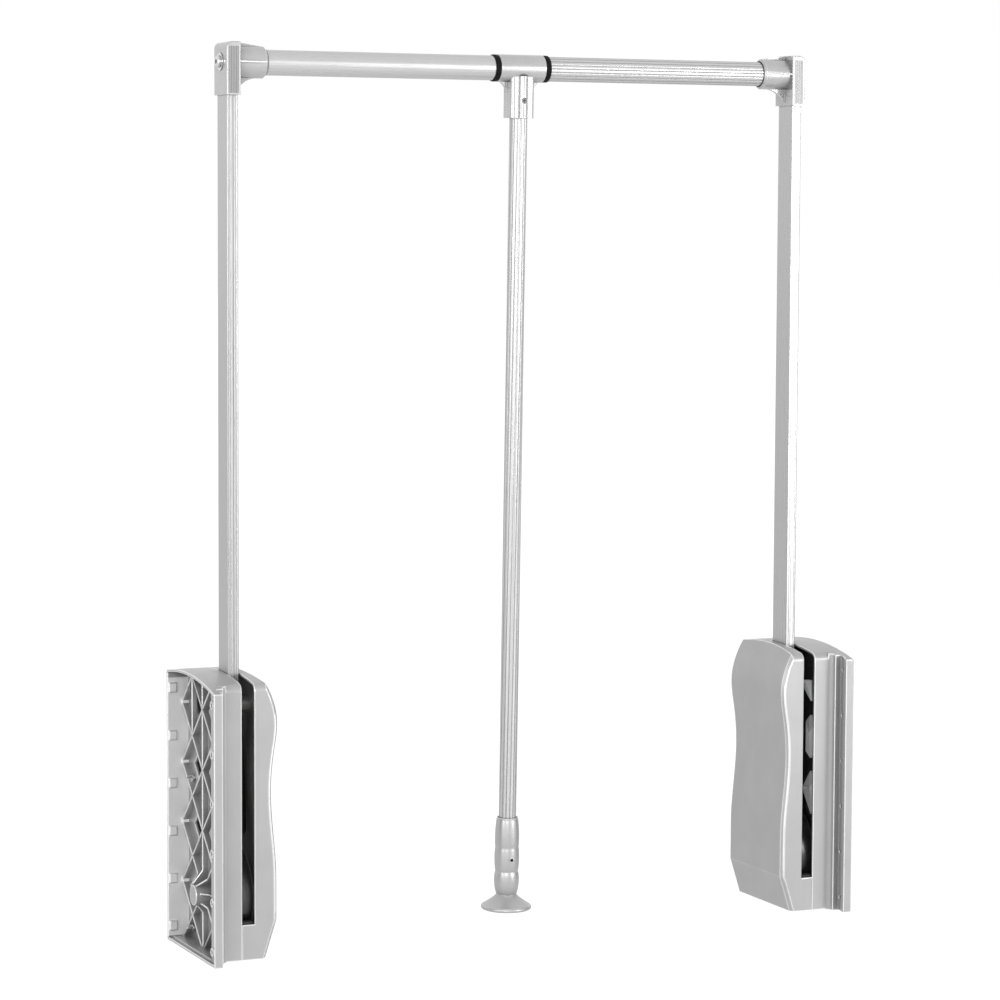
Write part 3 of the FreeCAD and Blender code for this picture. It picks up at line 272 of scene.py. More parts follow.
def shell(grid, close_rows=False, cap_rows=False):
    """One surface as (points, faces): a grid of points, its rows closed rings.

    The last row joins the first, or flat ends are put on the two, if asked.
    """
    rows, columns, _ = grid.shape
    faces = quads(rows, columns, close_rows).tolist()
    if cap_rows:
        faces.append(list(range(columns - 1, -1, -1)))
        faces.append([(rows - 1) * columns + j for j in range(columns)])
    return grid.reshape(-1, 3), faces


def mesh_object(name, shells, material, sharp_angle=35.0, groove=None):
    """One object from several shells, smooth except at edges sharper than the angle.

    groove, if given, holds a number for each point, kept as the attribute of that name.
    """
    points = np.concatenate([shell_points for shell_points, _ in shells])
    faces = []
    offset = 0
    for shell_points, shell_faces in shells:
        faces += [[index + offset for index in face] for face in shell_faces]
        offset += len(shell_points)
    mesh = bpy.data.meshes.new(name)
    mesh.from_pydata(points.tolist(), [], faces)
    mesh.polygons.foreach_set("use_smooth", np.ones(len(mesh.polygons), dtype=bool))
    mesh.validate()
    piece = bpy.data.objects.new(name, mesh)
    bpy.context.scene.collection.objects.link(piece)
    face_outwards(mesh)
    mesh.set_sharp_from_angle(angle=math.radians(sharp_angle))
    if groove is not None:
        layer = mesh.attributes.new("groove", "FLOAT", "POINT")
        layer.data.foreach_set("value", np.asarray(groove, dtype=np.float32).ravel())
    mesh.materials.append(material)
    return piece


def face_outwards(mesh):
    """Turns the faces of every closed shell outwards."""
    work = bmesh.new()
    work.from_mesh(mesh)
    bmesh.ops.recalc_face_normals(work, faces=work.faces)
    work.to_mesh(mesh)
    work.free()


def settle(piece, body, slot, *nodes):
    """The piece moves with a body and stands for the named nodes, which it hides; the slot is not used.
    """
    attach(piece, body)
    if nodes:
        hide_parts(*nodes)


def angles(count):
    """The angles of a ring of evenly spaced points, in radians."""
    return np.arange(count) * TURN / count


def unit_ring(along, count):
    """A ring of radius 1 across a line through the origin: cos * side + sin * other."""
    side = np.cross(along, (0.0, 1.0, 0.0) if abs(along[1]) < 0.5 else (1.0, 0.0, 0.0))
    side /= np.linalg.norm(side)
    other = np.cross(along, side)
    turn = angles(count)
    return np.cos(turn)[:, None] * side + np.sin(turn)[:, None] * other


def turned(profile, centre, along, count=96, close_rows=True):
    """An outline of (distance along, radius) carried once round a line.

    Each point of the outline gives a ring: centre + distance * along + radius * unit ring.
    The outline's last point joins its first, or else both rings get flat ends.
    """
    profile = np.asarray(profile, float)
    along = np.asarray(along, float)
    grid = (np.asarray(centre, float) + profile[:, None, 0:1] * along
            + profile[:, None, 1:2] * unit_ring(along, count)[None])
    return shell(grid, close_rows=close_rows, cap_rows=not close_rows)


def box_middle(node):
    """The middle of a CAD node's box."""
    return np.array(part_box(node)).mean(axis=0)


def leaned(surface):
    """A surface of the upright handle turned about the rail's middle line by the lean."""
    points, faces = surface
    lean = bpy.context.scene.closet_rod_sizes.handle_lean
    centre = box_middle("inner_rail_tube")
    cosine, sine = math.cos(lean), math.sin(lean)
    turn = np.array(((1, 0, 0), (0, cosine, -sine), (0, sine, cosine)))
    return (points - centre) @ turn.T + centre, faces


# ---------------------------------------------------------------- shader nodes

def new_material(name):
    """An empty material with one shader, as (material, its tree, shader)."""
    material = bpy.data.materials.new(name)
    material.use_nodes = True
    tree = material.node_tree
    tree.nodes.clear()
    output = tree.nodes.new("ShaderNodeOutputMaterial")
    shader = tree.nodes.new("ShaderNodeBsdfPrincipled")
    tree.links.new(shader.outputs["BSDF"], output.inputs["Surface"])
    return material, tree, shader


def put(tree, value, socket):
    """Gives a socket another node's output or a plain value."""
    if isinstance(value, bpy.types.NodeSocket):
        tree.links.new(value, socket)
    else:
        socket.default_value = value


def calculated(tree, operation, *values):
    """The values, each an output or a number, joined in turn by one operation."""
    total = values[0]
    for value in values[1:]:
        node = tree.nodes.new("ShaderNodeMath")
        node.operation = operation
        put(tree, total, node.inputs[0])
        put(tree, value, node.inputs[1])
        total = node.outputs["Value"]
    return total


def between(tree, value, low, high):
    """1 where the value lies between two others, else 0."""
    return calculated(
        tree, "MULTIPLY", calculated(tree, "GREATER_THAN", value, low),
        calculated(tree, "LESS_THAN", value, high))


def spread(tree, value, low, high, start=0.3, end=0.7):
    """The value between start and end, stretched to run from low to high."""
    node = tree.nodes.new("ShaderNodeMapRange")
    node.inputs["From Min"].default_value = start
    node.inputs["From Max"].default_value = end
    node.inputs["To Min"].default_value = low
    node.inputs["To Max"].default_value = high
    tree.links.new(value, node.inputs["Value"])
    return node.outputs["Result"]


def mixed(tree, factor, low, high):
    """A colour between two others; each is a colour or another node's output."""
    node = tree.nodes.new("ShaderNodeMix")
    node.data_type = "RGBA"
    tree.links.new(factor, node.inputs["Factor"])
    for value, name in ((low, "A"), (high, "B")):
        socket = [s for s in node.inputs if s.name == name and s.type == "RGBA"][0]
        put(tree, value if isinstance(value, bpy.types.NodeSocket) else (*value, 1.0), socket)
    return [s for s in node.outputs if s.type == "RGBA"][0]


def object_pattern(tree, scale, detail, stretch=(1, 1, 1), roughness=0.5):
    """Noise on the object's own coordinates, stretched along the axes; its value is 0 to 1."""
    place = tree.nodes.new("ShaderNodeTexCoord")
    mapping = tree.nodes.new("ShaderNodeMapping")
    mapping.inputs["Scale"].default_value = stretch
    noise = tree.nodes.new("ShaderNodeTexNoise")
    noise.inputs["Scale"].default_value = scale
    noise.inputs["Detail"].default_value = detail
    noise.inputs["Roughness"].default_value = roughness
    tree.links.new(place.outputs["Object"], mapping.inputs["Vector"])
    tree.links.new(mapping.outputs["Vector"], noise.inputs["Vector"])
    return noise.outputs["Fac"]


def object_axes(tree):
    """The object's own coordinates: the distance from the middle along X, then Y and Z."""
    place = tree.nodes.new("ShaderNodeTexCoord")
    split = tree.nodes.new("ShaderNodeSeparateXYZ")
    tree.links.new(place.outputs["Object"], split.inputs["Vector"])
    outward = tree.nodes.new("ShaderNodeMath")
    outward.operation = "ABSOLUTE"
    tree.links.new(split.outputs["X"], outward.inputs[0])
    return outward.outputs["Value"], split.outputs["Y"], split.outputs["Z"]


def groove_depth(tree):
    """The number kept in the piece's groove attribute, 0 to 1, where the finishes paint shade."""
    attribute = tree.nodes.new("ShaderNodeAttribute")
    attribute.attribute_name = "groove"
    return spread(tree, attribute.outputs["Fac"], 0.0, 1.0, start=0.0, end=1.0)


def openness(tree, reach, start=0.30, end=0.95):
    """How open each place is: 1 in the open, down to 0 where walls stand within reach."""
    node = tree.nodes.new("ShaderNodeAmbientOcclusion")
    node.samples = 6
    node.inputs["Distance"].default_value = reach
    return spread(tree, node.outputs["AO"], 0.0, 1.0, start, end)


def rounded_edges(tree, shader, radius, grain, grain_depth):
    """Rounded edges from the Bevel node, with a fine grain on top, as the surface's normal.

    Returns how strongly each place is an edge that stands out: 1 less the dot product of the
    true normal and the rounded one, stretched to run from 0 to 1, times how open the place is.
    The finishes paint their edge highlights with it.
    """
    bevel = tree.nodes.new("ShaderNodeBevel")
    bevel.samples = 6
    bevel.inputs["Radius"].default_value = radius
    bump = tree.nodes.new("ShaderNodeBump")
    bump.inputs["Strength"].default_value = 0.35
    bump.inputs["Distance"].default_value = grain_depth
    tree.links.new(grain, bump.inputs["Height"])
    tree.links.new(bevel.outputs["Normal"], bump.inputs["Normal"])
    tree.links.new(bump.outputs["Normal"], shader.inputs["Normal"])
    geometry = tree.nodes.new("ShaderNodeNewGeometry")
    dot = tree.nodes.new("ShaderNodeVectorMath")
    dot.operation = "DOT_PRODUCT"
    tree.links.new(bevel.outputs["Normal"], dot.inputs[0])
    tree.links.new(geometry.outputs["Normal"], dot.inputs[1])
    turned_away = spread(tree, dot.outputs["Value"], 1.0, 0.0, start=0.965, end=0.997)
    return calculated(tree, "MULTIPLY", turned_away, openness(tree, reach=0.004, start=0.60, end=0.85))


# ---------------------------------------------------------------- finishes

def shades(colour, *shares):
    """The colour times each share, never above white."""
    return [tuple(np.minimum(np.array(colour) * share, 1)) for share in shares]


def varied(tree, pattern, colour, least, most):
    """The colour times least to times most, following the pattern."""
    return mixed(tree, spread(tree, pattern, 0.0, 1.0), *shades(colour, least, most))


def bright_edge(tree, shader, edge, metallic):
    """The painted edge highlights are made fully metallic, the rest is as metallic as given."""
    tree.links.new(
        spread(tree, edge, metallic, 1.0, start=0.0, end=1.0), shader.inputs["Metallic"])


def painted_rim_light(tree, body, colour):
    """Painted light on the inside of the bases' rear rim: twice the colour within that stretch."""
    inside = calculated(tree, "MULTIPLY", *[
        between(tree, place, low, high) for place, (low, high) in zip(object_axes(tree), LIGHTENED_RIM)])
    return mixed(tree, inside, body, *shades(colour, 2.0))


def groove_shade_lines(tree, lines):
    """1 on the given lines of the arms' front faces, where groove shade is painted, else 0."""
    outward, depth, _ = object_axes(tree)
    stripes = [between(tree, outward, low, high) for low, high in lines]
    return calculated(
        tree, "MULTIPLY", calculated(tree, "MAXIMUM", *stripes), between(tree, depth, *ARM_FRONT))


def moulded_silver(name, colour, roughness=0.36, coat=0.25, metallic=0.25, edge_size=1.0,
                   paint_hollow_shade=True, lighten_rim=False, shade=None):
    """Silver-filled plastic: slight cloudiness, fine mould grain, painted highlights on the edges,
    painted shade in recesses.

    edge_size scales the width of the painted edge highlights. With a shade the colour falls to that
    share of itself where the piece's groove attribute is 1, a painted shade.
    """
    finish = bpy.context.scene.closet_rod_finish
    material, tree, shader = new_material(name)
    body = varied(tree, object_pattern(tree, scale=28.0, detail=3.0), colour, 0.965, 1.035)
    # Painted shade: where walls stand near, the colour falls to 0.45 of itself.
    if paint_hollow_shade:
        hollow_shade, = shades(colour, 0.45)
        body = mixed(tree, openness(tree, reach=0.016, start=0.35, end=1.0), hollow_shade, body)
    # Painted light on the inside of the rear rim.
    if lighten_rim:
        body = painted_rim_light(tree, body, colour)
    # Painted shade, following the groove attribute.
    if shade is not None:
        body = mixed(tree, groove_depth(tree), body, *shades(colour, shade))
    grain = object_pattern(tree, scale=2600.0, detail=1.0)
    edge = rounded_edges(tree, shader, finish.edge_radius * edge_size, grain, grain_depth=0.00004)
    # Painted highlight: the edges are mixed towards the highlight colour.
    tree.links.new(mixed(tree, edge, body, finish.highlight_colour), shader.inputs["Base Color"])
    bright_edge(tree, shader, edge, metallic)
    smears = object_pattern(tree, scale=60.0, detail=4.0)
    tree.links.new(
        spread(tree, smears, roughness - 0.04, roughness + 0.05), shader.inputs["Roughness"])
    shader.inputs["Coat Weight"].default_value = coat
    shader.inputs["Coat Roughness"].default_value = 0.22
    return material


def anodised(name, colour, stretch, roughness=0.30, metallic=0.6, shade=None, lines=(),
             edge_size=0.25):
    """Anodised aluminium: fine streaks along the extrusion, in colour, gloss and relief, with painted
    shade in narrow recesses and painted highlights on the edges.

    With a shade the colour falls to that share of itself at the bottom of the flutes, a painted shade.
    lines are lines of painted groove shade down a front face, each as (low, high) of the distance from
    the middle.
    """
    finish = bpy.context.scene.closet_rod_finish
    material, tree, shader = new_material(name)
    streaks = object_pattern(tree, scale=900.0, detail=4.0, stretch=stretch, roughness=0.6)
    crack_shade, line = shades(colour, 0.35, 0.45)
    body = varied(tree, streaks, colour, 0.98, 1.02)
    # Painted shade: narrow recesses darken to 0.35 of the colour.
    body = mixed(tree, openness(tree, reach=0.0015), crack_shade, body)
    edge = rounded_edges(
        tree, shader, finish.edge_radius * edge_size, streaks, grain_depth=0.000004)
    # Painted highlight on the rounded edges.
    body = mixed(tree, edge, body, finish.highlight_colour)
    # Painted shade, following the groove attribute.
    if shade is not None:
        body = mixed(tree, groove_depth(tree), body, *shades(colour, shade))
    # Painted shade in the grooves down the front face.
    if lines:
        body = mixed(tree, groove_shade_lines(tree, lines), body, line)
    tree.links.new(body, shader.inputs["Base Color"])
    tree.links.new(
        spread(tree, streaks, roughness - 0.05, roughness + 0.06), shader.inputs["Roughness"])
    bright_edge(tree, shader, edge, metallic)
    return material


def plain_plastic(name, colour, roughness=0.28, gloss=0.75, edge_highlight=0.05):
    """Unpainted plastic with a faint mould grain and painted highlights on its edges, lighter by the
    given amount.
    """
    finish = bpy.context.scene.closet_rod_finish
    material, tree, shader = new_material(name)
    grain = object_pattern(tree, scale=1800.0, detail=2.0)
    colour = np.array(colour)
    patches = spread(tree, object_pattern(tree, scale=40.0, detail=3.0), 0.0, 1.0)
    body = mixed(tree, patches, tuple(colour * 0.8), tuple(colour * 1.6))
    edge = rounded_edges(tree, shader, finish.edge_radius, grain, grain_depth=0.00005)
    # Painted highlight: the edges are lighter by the given amount.
    tree.links.new(mixed(tree, edge, body, tuple(colour + edge_highlight)), shader.inputs["Base Color"])
    tree.links.new(
        spread(tree, grain, roughness - 0.05, roughness + 0.08), shader.inputs["Roughness"])
    shader.inputs["Specular IOR Level"].default_value = gloss
    return material


def bright_steel(name, colour, roughness=0.28):
    """Plated steel with fine turning marks, painted black shade in its recesses and painted highlights
    on its edges.
    """
    finish = bpy.context.scene.closet_rod_finish
    material, tree, shader = new_material(name)
    marks = object_pattern(tree, scale=1500.0, detail=3.0)
    body = varied(tree, marks, colour, 0.9, 1.0)
    # Painted shade: the recesses are painted black.
    open_share = openness(tree, reach=0.0015, start=0.45, end=0.85)
    body = mixed(tree, open_share, (0.01, 0.01, 0.01), body)
    edge = rounded_edges(tree, shader, finish.edge_radius * 0.15, marks, grain_depth=0.00001)
    tree.links.new(mixed(tree, edge, body, finish.highlight_colour), shader.inputs["Base Color"])
    tree.links.new(
        spread(tree, marks, roughness - 0.05, roughness + 0.08), shader.inputs["Roughness"])
    shader.inputs["Metallic"].default_value = 1.0
    return material


def finish_nodes(material, *names):
    """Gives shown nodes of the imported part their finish."""
    for name in names:
        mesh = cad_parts[name].data
        mesh.materials.clear()
        mesh.materials.append(material)


def on_both_sides(*names):
    """The node names of both sides."""
    return [side + "_" + name for side in SIDES for name in names]


# ---------------------------------------------------------------- the pieces

class ClosetRodHousings(bpy.types.Operator):
    """Finish the housings, their liner plates and what is inside them"""

    bl_idname = "closet_rod.housings"
    bl_label = "Housings"

    def execute(self, context):
        finish = context.scene.closet_rod_finish
        silver = moulded_silver("housing_silver", finish.housing_colour, lighten_rim=True)
        black = plain_plastic("black_plastic", finish.black_colour)
        # Painted highlight: the hub's edges are lightened by 0.35.
        hub_black = plain_plastic("hub_black", finish.black_colour, 0.3, gloss=0.9, edge_highlight=0.35)
        deep_black, = shades(finish.black_colour, 0.4)
        ring_black = plain_plastic("ring_black", deep_black, 0.6, gloss=0.15, edge_highlight=0.0)
        strut_black = plain_plastic("strut_black", finish.black_colour, 0.3)
        rubber = plain_plastic("rubber", finish.black_colour, 0.75)
        natural = plain_plastic("natural_plastic", (0.7, 0.7, 0.68), 0.5)
        steel = bright_steel("steel", (0.62, 0.62, 0.63))
        finish_nodes(silver, *on_both_sides("housing_base", "housing_cover"))
        finish_nodes(black, *on_both_sides("liner_plate", "rail_plug"))
        finish_nodes(hub_black, *on_both_sides("arm_hub"))
        finish_nodes(ring_black, *on_both_sides("rail_ring"))
        finish_nodes(strut_black, *on_both_sides("strut_cylinder"))
        finish_nodes(rubber, *on_both_sides("rear_stop", "front_bumper"))
        finish_nodes(natural, *on_both_sides("pivot_bushes"), "inner_rail_sliders")
        finish_nodes(steel, *on_both_sides(
            "case_screws", "pivot_axle", "strut_anchor_pin", "arm_rivets", "lever_pin", "strut_rod"))
        return {"FINISHED"}


def window_facets(face, inward, outline, top):
    """One closed three-sided block for each edge of the outline, up to the top.

    The liner plate is at x = face. Each block's front corners are drawn towards their own
    middle: middle + share * (corner - middle).
    """
    shells = []
    for index, corner in enumerate(outline):
        following = outline[(index + 1) % len(outline)]
        front = np.array((corner, following, top), float)
        middle = front.mean(axis=0)
        front = middle + FACET_SHARE * (front - middle)
        points = np.concatenate((front, front))
        points[3:, 0] = 0.0
        points[:, 0] = face + inward * points[:, 0]
        faces = [[0, 1, 2], [5, 4, 3], [0, 3, 4, 1], [1, 4, 5, 2], [2, 5, 3, 0]]
        shells.append((points, faces))
    return shells


def window_sheet(face, inward):
    """A thin sheet on the liner plate, as one closed shell."""
    (front, rear), (foot, head) = SHEET_DEPTHS, SHEET_HEIGHTS
    corners = ((front, foot), (rear, foot), (rear, head), (front, head))
    rings = [[(x, y, z) for y, z in corners] for x in (face, face + inward * SHEET_THICKNESS)]
    return shell(np.array(rings), cap_rows=True)


class ClosetRodWindows(bpy.types.Operator):
    """Make the facets, painted near-white with a painted shade on each, that show in the slots beside
    the arms
    """

    bl_idname = "closet_rod.windows"
    bl_label = "Slot windows"

    def execute(self, context):
        finish = context.scene.closet_rod_finish
        # Painted light: the facets take the near-white highlight colour with no darkening of recesses,
        # and each facet gets its own painted shade.
        silver = moulded_silver(
            "window_silver", finish.highlight_colour, 0.3, metallic=0.0, edge_size=0.1,
            paint_hollow_shade=False, shade=0.45)
        black = plain_plastic("window_black", finish.black_colour)
        for side, inward in SIDES.items():
            low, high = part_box(side + "_liner_plate")
            face = high[0] if side == "left" else low[0]
            facets = []
            facet_shades = []
            for outline, top, facet_shade in WINDOWS:
                facets += window_facets(face, inward, outline, top)
                facet_shades += np.repeat(facet_shade, 6).tolist()
            piece = mesh_object(side + "_window_facets", facets, silver, 5.0, groove=facet_shades)
            settle(piece, side + "_housing", "housing_silver")
            piece = mesh_object(side + "_window_sheet", [window_sheet(face, inward)], black)
            settle(piece, side + "_housing", "black_plastic")
        return {"FINISHED"}


def wavy_edge(side, inward):
    """The cover's wavy front edge, read off its own mesh: (heights, distances, depth).

    The distances are from the closet side; the depth is the Y of the cover's front.
    """
    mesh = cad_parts[side + "_housing_cover"].data
    places = np.empty(len(mesh.vertices) * 3)
    mesh.vertices.foreach_get("co", places)
    places = places.reshape(-1, 3)
    distance = closet_side(side) + places[:, 0] * inward
    front = places[:, 1].min()
    on_edge = (np.abs(places[:, 1] - front) < 0.00005) & (distance > LEAST_WAVE)
    heights, first = np.unique(np.round(places[on_edge, 2], 6), return_index=True)
    return heights, distance[on_edge][first], front


def closet_side(side):
    """How far a side of the closet stands from the middle."""
    return np.abs(np.array(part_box(side + "_housing_base"))[:, 0]).max()


def bevel_bead(side, inward, steps=90):
    """A bead along the wavy bevel of a cover, as one closed shell.

    Its middle line lies a little up the bevel from the wavy edge. Round it goes an ellipse,
    half its width along the bevel and half its height off it. Towards each end both shrink
    almost to nothing, as the root of the distance from the end.
    """
    heights, edge, front = wavy_edge(side, inward)
    height = np.linspace(*BEAD_HEIGHTS, steps)
    middle = np.interp(height, heights, edge) + BEAD_INSET
    share = (height - height[0]) / (height[-1] - height[0])
    swell = np.minimum(1.0, BEAD_TAPERS * np.minimum(share, 1 - share)) ** 0.5 + BEAD_LEAST
    turn = angles(16)
    along = BEAD_HALF_WIDTH * np.cos(turn)[None, :] * swell[:, None]
    off = BEAD_HALF_HEIGHT * np.sin(turn)[None, :] * swell[:, None]
    slant = math.sqrt(0.5)
    across = middle[:, None] + slant * (along + off)
    depth = front + BEAD_INSET + slant * (along - off)
    grid = np.stack((
        inward * (across - closet_side(side)), depth, height[:, None] * np.ones_like(along)), axis=-1)
    return shell(grid, cap_rows=True)


class ClosetRodBeads(bpy.types.Operator):
    """Make the beads down the wavy edges of the covers, painted near-white as a highlight"""

    bl_idname = "closet_rod.beads"
    bl_label = "Cover beads"

    def execute(self, context):
        finish = context.scene.closet_rod_finish
        # Painted highlight: the beads take the near-white highlight colour.
        bright = moulded_silver(
            "bead_silver", finish.highlight_colour, 0.3, coat=0.5, metallic=0.3, paint_hollow_shade=False)
        for side, inward in SIDES.items():
            piece = mesh_object(side + "_cover_bead", [bevel_bead(side, inward)], bright, 60.0)
            settle(piece, side + "_housing", "housing_silver")
        return {"FINISHED"}


def reeded_plate(low, high):
    """A thin plate on a front face, with upright reeds, as one closed shell.

    low and high are the corners of the face, at one y. Across the plate the front stands off
    by a fifth of the rise plus the rise * |sin(reeds * pi * share)|. Given back with it is how
    deep each point lies between the reeds, (1 - |sin|) to the 3rd power, which the finish paints as
    shade.
    """
    share = np.linspace(0, 1, REED_COUNT * 12 + 1)
    crest = np.abs(np.sin(REED_COUNT * math.pi * share))
    stand_off = REED_RISE * (0.2 + crest)
    x = low[0] + (high[0] - low[0]) * share
    outline_x = np.concatenate((x, x[::-1]))
    outline_y = np.concatenate((low[1] - stand_off, np.full(len(x), low[1])))
    grid = np.stack([
        np.column_stack((outline_x, outline_y, np.full(len(outline_x), z)))
        for z in (low[2], high[2])])
    valley = np.concatenate(((1 - crest) ** 3, np.zeros(len(x))))
    return shell(grid, cap_rows=True), np.stack((valley, valley))


def socket_rib(low, high, inward):
    """A level rib along the front of a bracket's socket, lower at the mouth than at the plate.

    low and high are the corners of the bracket's box.
    """
    middle = box_middle("inner_rail_tube")[2]
    outer, mouth = (low[0], high[0]) if inward > 0 else (high[0], low[0])
    ends = (
        (outer + inward * RIB_START, low[1] + RIB_PLATE_DEPTH),
        (mouth - inward * RIB_END, low[1] + RIB_MOUTH_DEPTH))
    root = low[1] + RIB_ROOT_DEPTH
    foot, head = middle - RIB_HALF_HEIGHT, middle + RIB_HALF_HEIGHT
    rings = [[(x, front, foot), (x, front, head), (x, root, head), (x, root, foot)]
             for x, front in ends]
    return shell(np.array(rings), cap_rows=True)


class ClosetRodArms(bpy.types.Operator):
    """Finish the swing arms and corner brackets, and make the brackets' reeds and ribs"""

    bl_idname = "closet_rod.arms"
    bl_label = "Arms and brackets"

    def execute(self, context):
        finish = context.scene.closet_rod_finish
        along_z = (1, 1, 0.02)
        # The arms' fronts get painted groove shade on their lines.
        arm = anodised("arm_silver", finish.arm_colour, along_z, metallic=0.7, lines=ARM_GROOVE_SHADE)
        bracket = moulded_silver(
            "bracket_silver", finish.bracket_colour, 0.3, coat=0.4, metallic=0.45, edge_size=0.25)
        # Painted shade in the valleys between the reeds.
        reed = anodised(
            "reed_silver", finish.reed_colour, along_z, metallic=0.1, shade=0.45, edge_size=0.01)
        screw = bright_steel("screw_silver", (0.75, 0.75, 0.76))
        finish_nodes(arm, *on_both_sides("arm_tube"))
        finish_nodes(bracket, *on_both_sides("corner_bracket"))
        finish_nodes(screw, *on_both_sides("rail_cap_screw"))
        for side, inward in SIDES.items():
            low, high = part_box(side + "_corner_bracket")
            arm_low, arm_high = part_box(side + "_arm_tube")
            reeds, depth = reeded_plate(
                (arm_low[0] + REED_SIDE_MARGIN, low[1], low[2] + REED_FOOT_MARGIN),
                (arm_high[0] - REED_SIDE_MARGIN, low[1], high[2] - REED_HEAD_MARGIN))
            piece = mesh_object(side + "_bracket_reeds", [reeds], reed, 30.0, groove=depth)
            settle(piece, side + "_frame", "bracket_silver")
            rib = socket_rib(low, high, inward)
            piece = mesh_object(side + "_bracket_rib", [rib], bracket, 30.0)
            settle(piece, side + "_frame", "bracket_silver")
        return {"FINISHED"}


def fluted_tube(low, high, count, depth, wall, twist=0.0, rows=2):
    """An upright fluted tube: its grid of points, and at each point how deep in a flute it is.

    The radius is the tube's own less depth * (half of 1 + cos(count * (angle - turned)))
    to the 6th power, so that narrow valleys part broad reeds; turned grows evenly up the tube
    to twist. The bore is plain, and the two are joined by flat rings at the ends.
    """
    centre = (np.array(low) + np.array(high)) / 2
    radius = (high[0] - low[0]) / 2
    turn = angles(count * 14)[None, :]
    height = np.linspace(low[2], high[2], rows)[:, None]
    share = (height - low[2]) / (high[2] - low[2])
    valley = (0.5 + 0.5 * np.cos(count * (turn - twist * share))) ** 6
    plain = np.zeros((1, turn.shape[1]))
    radii = np.concatenate((plain + radius - wall, radius - depth * valley, plain + radius - wall))
    heights = np.concatenate((height[:1], height, height[-1:])) * np.ones_like(turn)
    grid = np.stack((
        centre[0] + radii * np.cos(turn), centre[1] + radii * np.sin(turn), heights), axis=-1)
    return grid, np.concatenate((plain, valley, plain))


class ClosetRodRail(bpy.types.Operator):
    """Make the two fluted rail tubes and the black rings in their mouths, a painted shadow of the gap,
    and finish the inner tube
    """

    bl_idname = "closet_rod.rail"
    bl_label = "Rail"

    def execute(self, context):
        sizes = context.scene.closet_rod_sizes
        finish = context.scene.closet_rod_finish
        along_x = (0.02, 1, 1)
        smooth = anodised("rail_silver", finish.rail_colour, along_x)
        # Painted shade at the bottom of the flutes.
        fluted = anodised(
            "fluted_rail_silver", finish.rod_colour, along_x, shade=sizes.valley_shade)
        # Painted shadow: a black ring stands for the shadow of the gap in each socket's mouth.
        black = plain_plastic("mouth_black", finish.black_colour, 0.6, gloss=0.15, edge_highlight=0.0)
        finish_nodes(smooth, "inner_rail_tube")
        self.make_tube("left", smooth, sizes.flute_count, sizes.left_flute_depth)
        self.make_mouth_shadow_ring("left", black)
        self.make_tube("right", fluted, sizes.flute_count, sizes.right_flute_depth)
        self.make_mouth_shadow_ring("right", black)
        return {"FINISHED"}

    def make_tube(self, side, material, flute_count, flute_depth):
        """A fluted tube made upright, with its X and Z changed over to lay it along the rail."""
        low, high = (tuple(corner)[::-1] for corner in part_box(side + "_rail_tube"))
        grid, depth = fluted_tube(low, high, flute_count, flute_depth, RAIL_WALL)
        laid = shell(grid[..., ::-1], close_rows=True)
        piece = mesh_object(side + "_rail_flutes", [laid], material, groove=depth)
        settle(piece, side + "_frame", "rail_silver", side + "_rail_tube")

    def make_mouth_shadow_ring(self, side, black):
        """A black ring in the socket's mouth, round the tube: a painted shadow of the gap."""
        low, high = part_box(side + "_corner_bracket")
        centre = box_middle(side + "_rail_tube")
        centre[0] = high[0] if side == "left" else low[0]
        ring = turned(MOUTH_SHADOW_RING, centre, (SIDES[side], 0.0, 0.0))
        piece = mesh_object(side + "_mouth_ring", [ring], black)
        settle(piece, side + "_frame", "black_plastic")


class ClosetRodTee(bpy.types.Operator):
    """Finish the tee in the middle of the rail"""

    bl_idname = "closet_rod.tee"
    bl_label = "Tee"

    def execute(self, context):
        finish = context.scene.closet_rod_finish
        silver = moulded_silver(
            "tee_silver", finish.bracket_colour, 0.26, coat=0.5, metallic=0.5, edge_size=0.15)
        # Painted highlight: the screw's edges are lightened by 0.5.
        screw = plain_plastic("tee_screw_black", finish.black_colour, 0.3, gloss=0.9, edge_highlight=0.5)
        finish_nodes(silver, "tee_front", "tee_rear")
        finish_nodes(screw, "tee_screw")
        return {"FINISHED"}


class ClosetRodPullRod(bpy.types.Operator):
    """Make the pull rod with its slowly turning flutes"""

    bl_idname = "closet_rod.pull_rod"
    bl_label = "Pull rod"

    def execute(self, context):
        sizes = context.scene.closet_rod_sizes
        finish = context.scene.closet_rod_finish
        # Painted shade at the bottom of the flutes.
        material = anodised(
            "pull_rod_silver", finish.rod_colour, (1, 1, 0.02), shade=sizes.valley_shade)
        _, middle, rail_height = box_middle("inner_rail_tube")
        low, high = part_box("pull_rod")
        radius = (high[0] - low[0]) / 2
        foot = rail_height - (rail_height - low[2]) / math.cos(sizes.handle_lean)
        grid, depth = fluted_tube(
            (-radius, middle - radius, foot + ROD_END_GAP),
            (radius, middle + radius, high[2] - ROD_END_GAP),
            sizes.rod_flute_count, sizes.rod_flute_depth, ROD_WALL, sizes.rod_twist, ROD_ROWS)
        upright = shell(grid, close_rows=True)
        piece = mesh_object("fluted_pull_rod", [leaned(upright)], material, groove=depth)
        settle(piece, "handle", "pull_rod_silver", "pull_rod")
        return {"FINISHED"}


def scallop(start, end, swell, steps=16):
    """One swell of the grip, from one (height, radius) to another.

    The radius is a straight line between the two plus swell * sin(pi * share) to the 0.6.
    """
    share = np.linspace(0, 1, steps, endpoint=False)
    arch = np.sin(math.pi * share) ** 0.6
    height = start[0] + (end[0] - start[0]) * share
    return np.column_stack((height, start[1] + (end[1] - start[1]) * share + swell * arch))


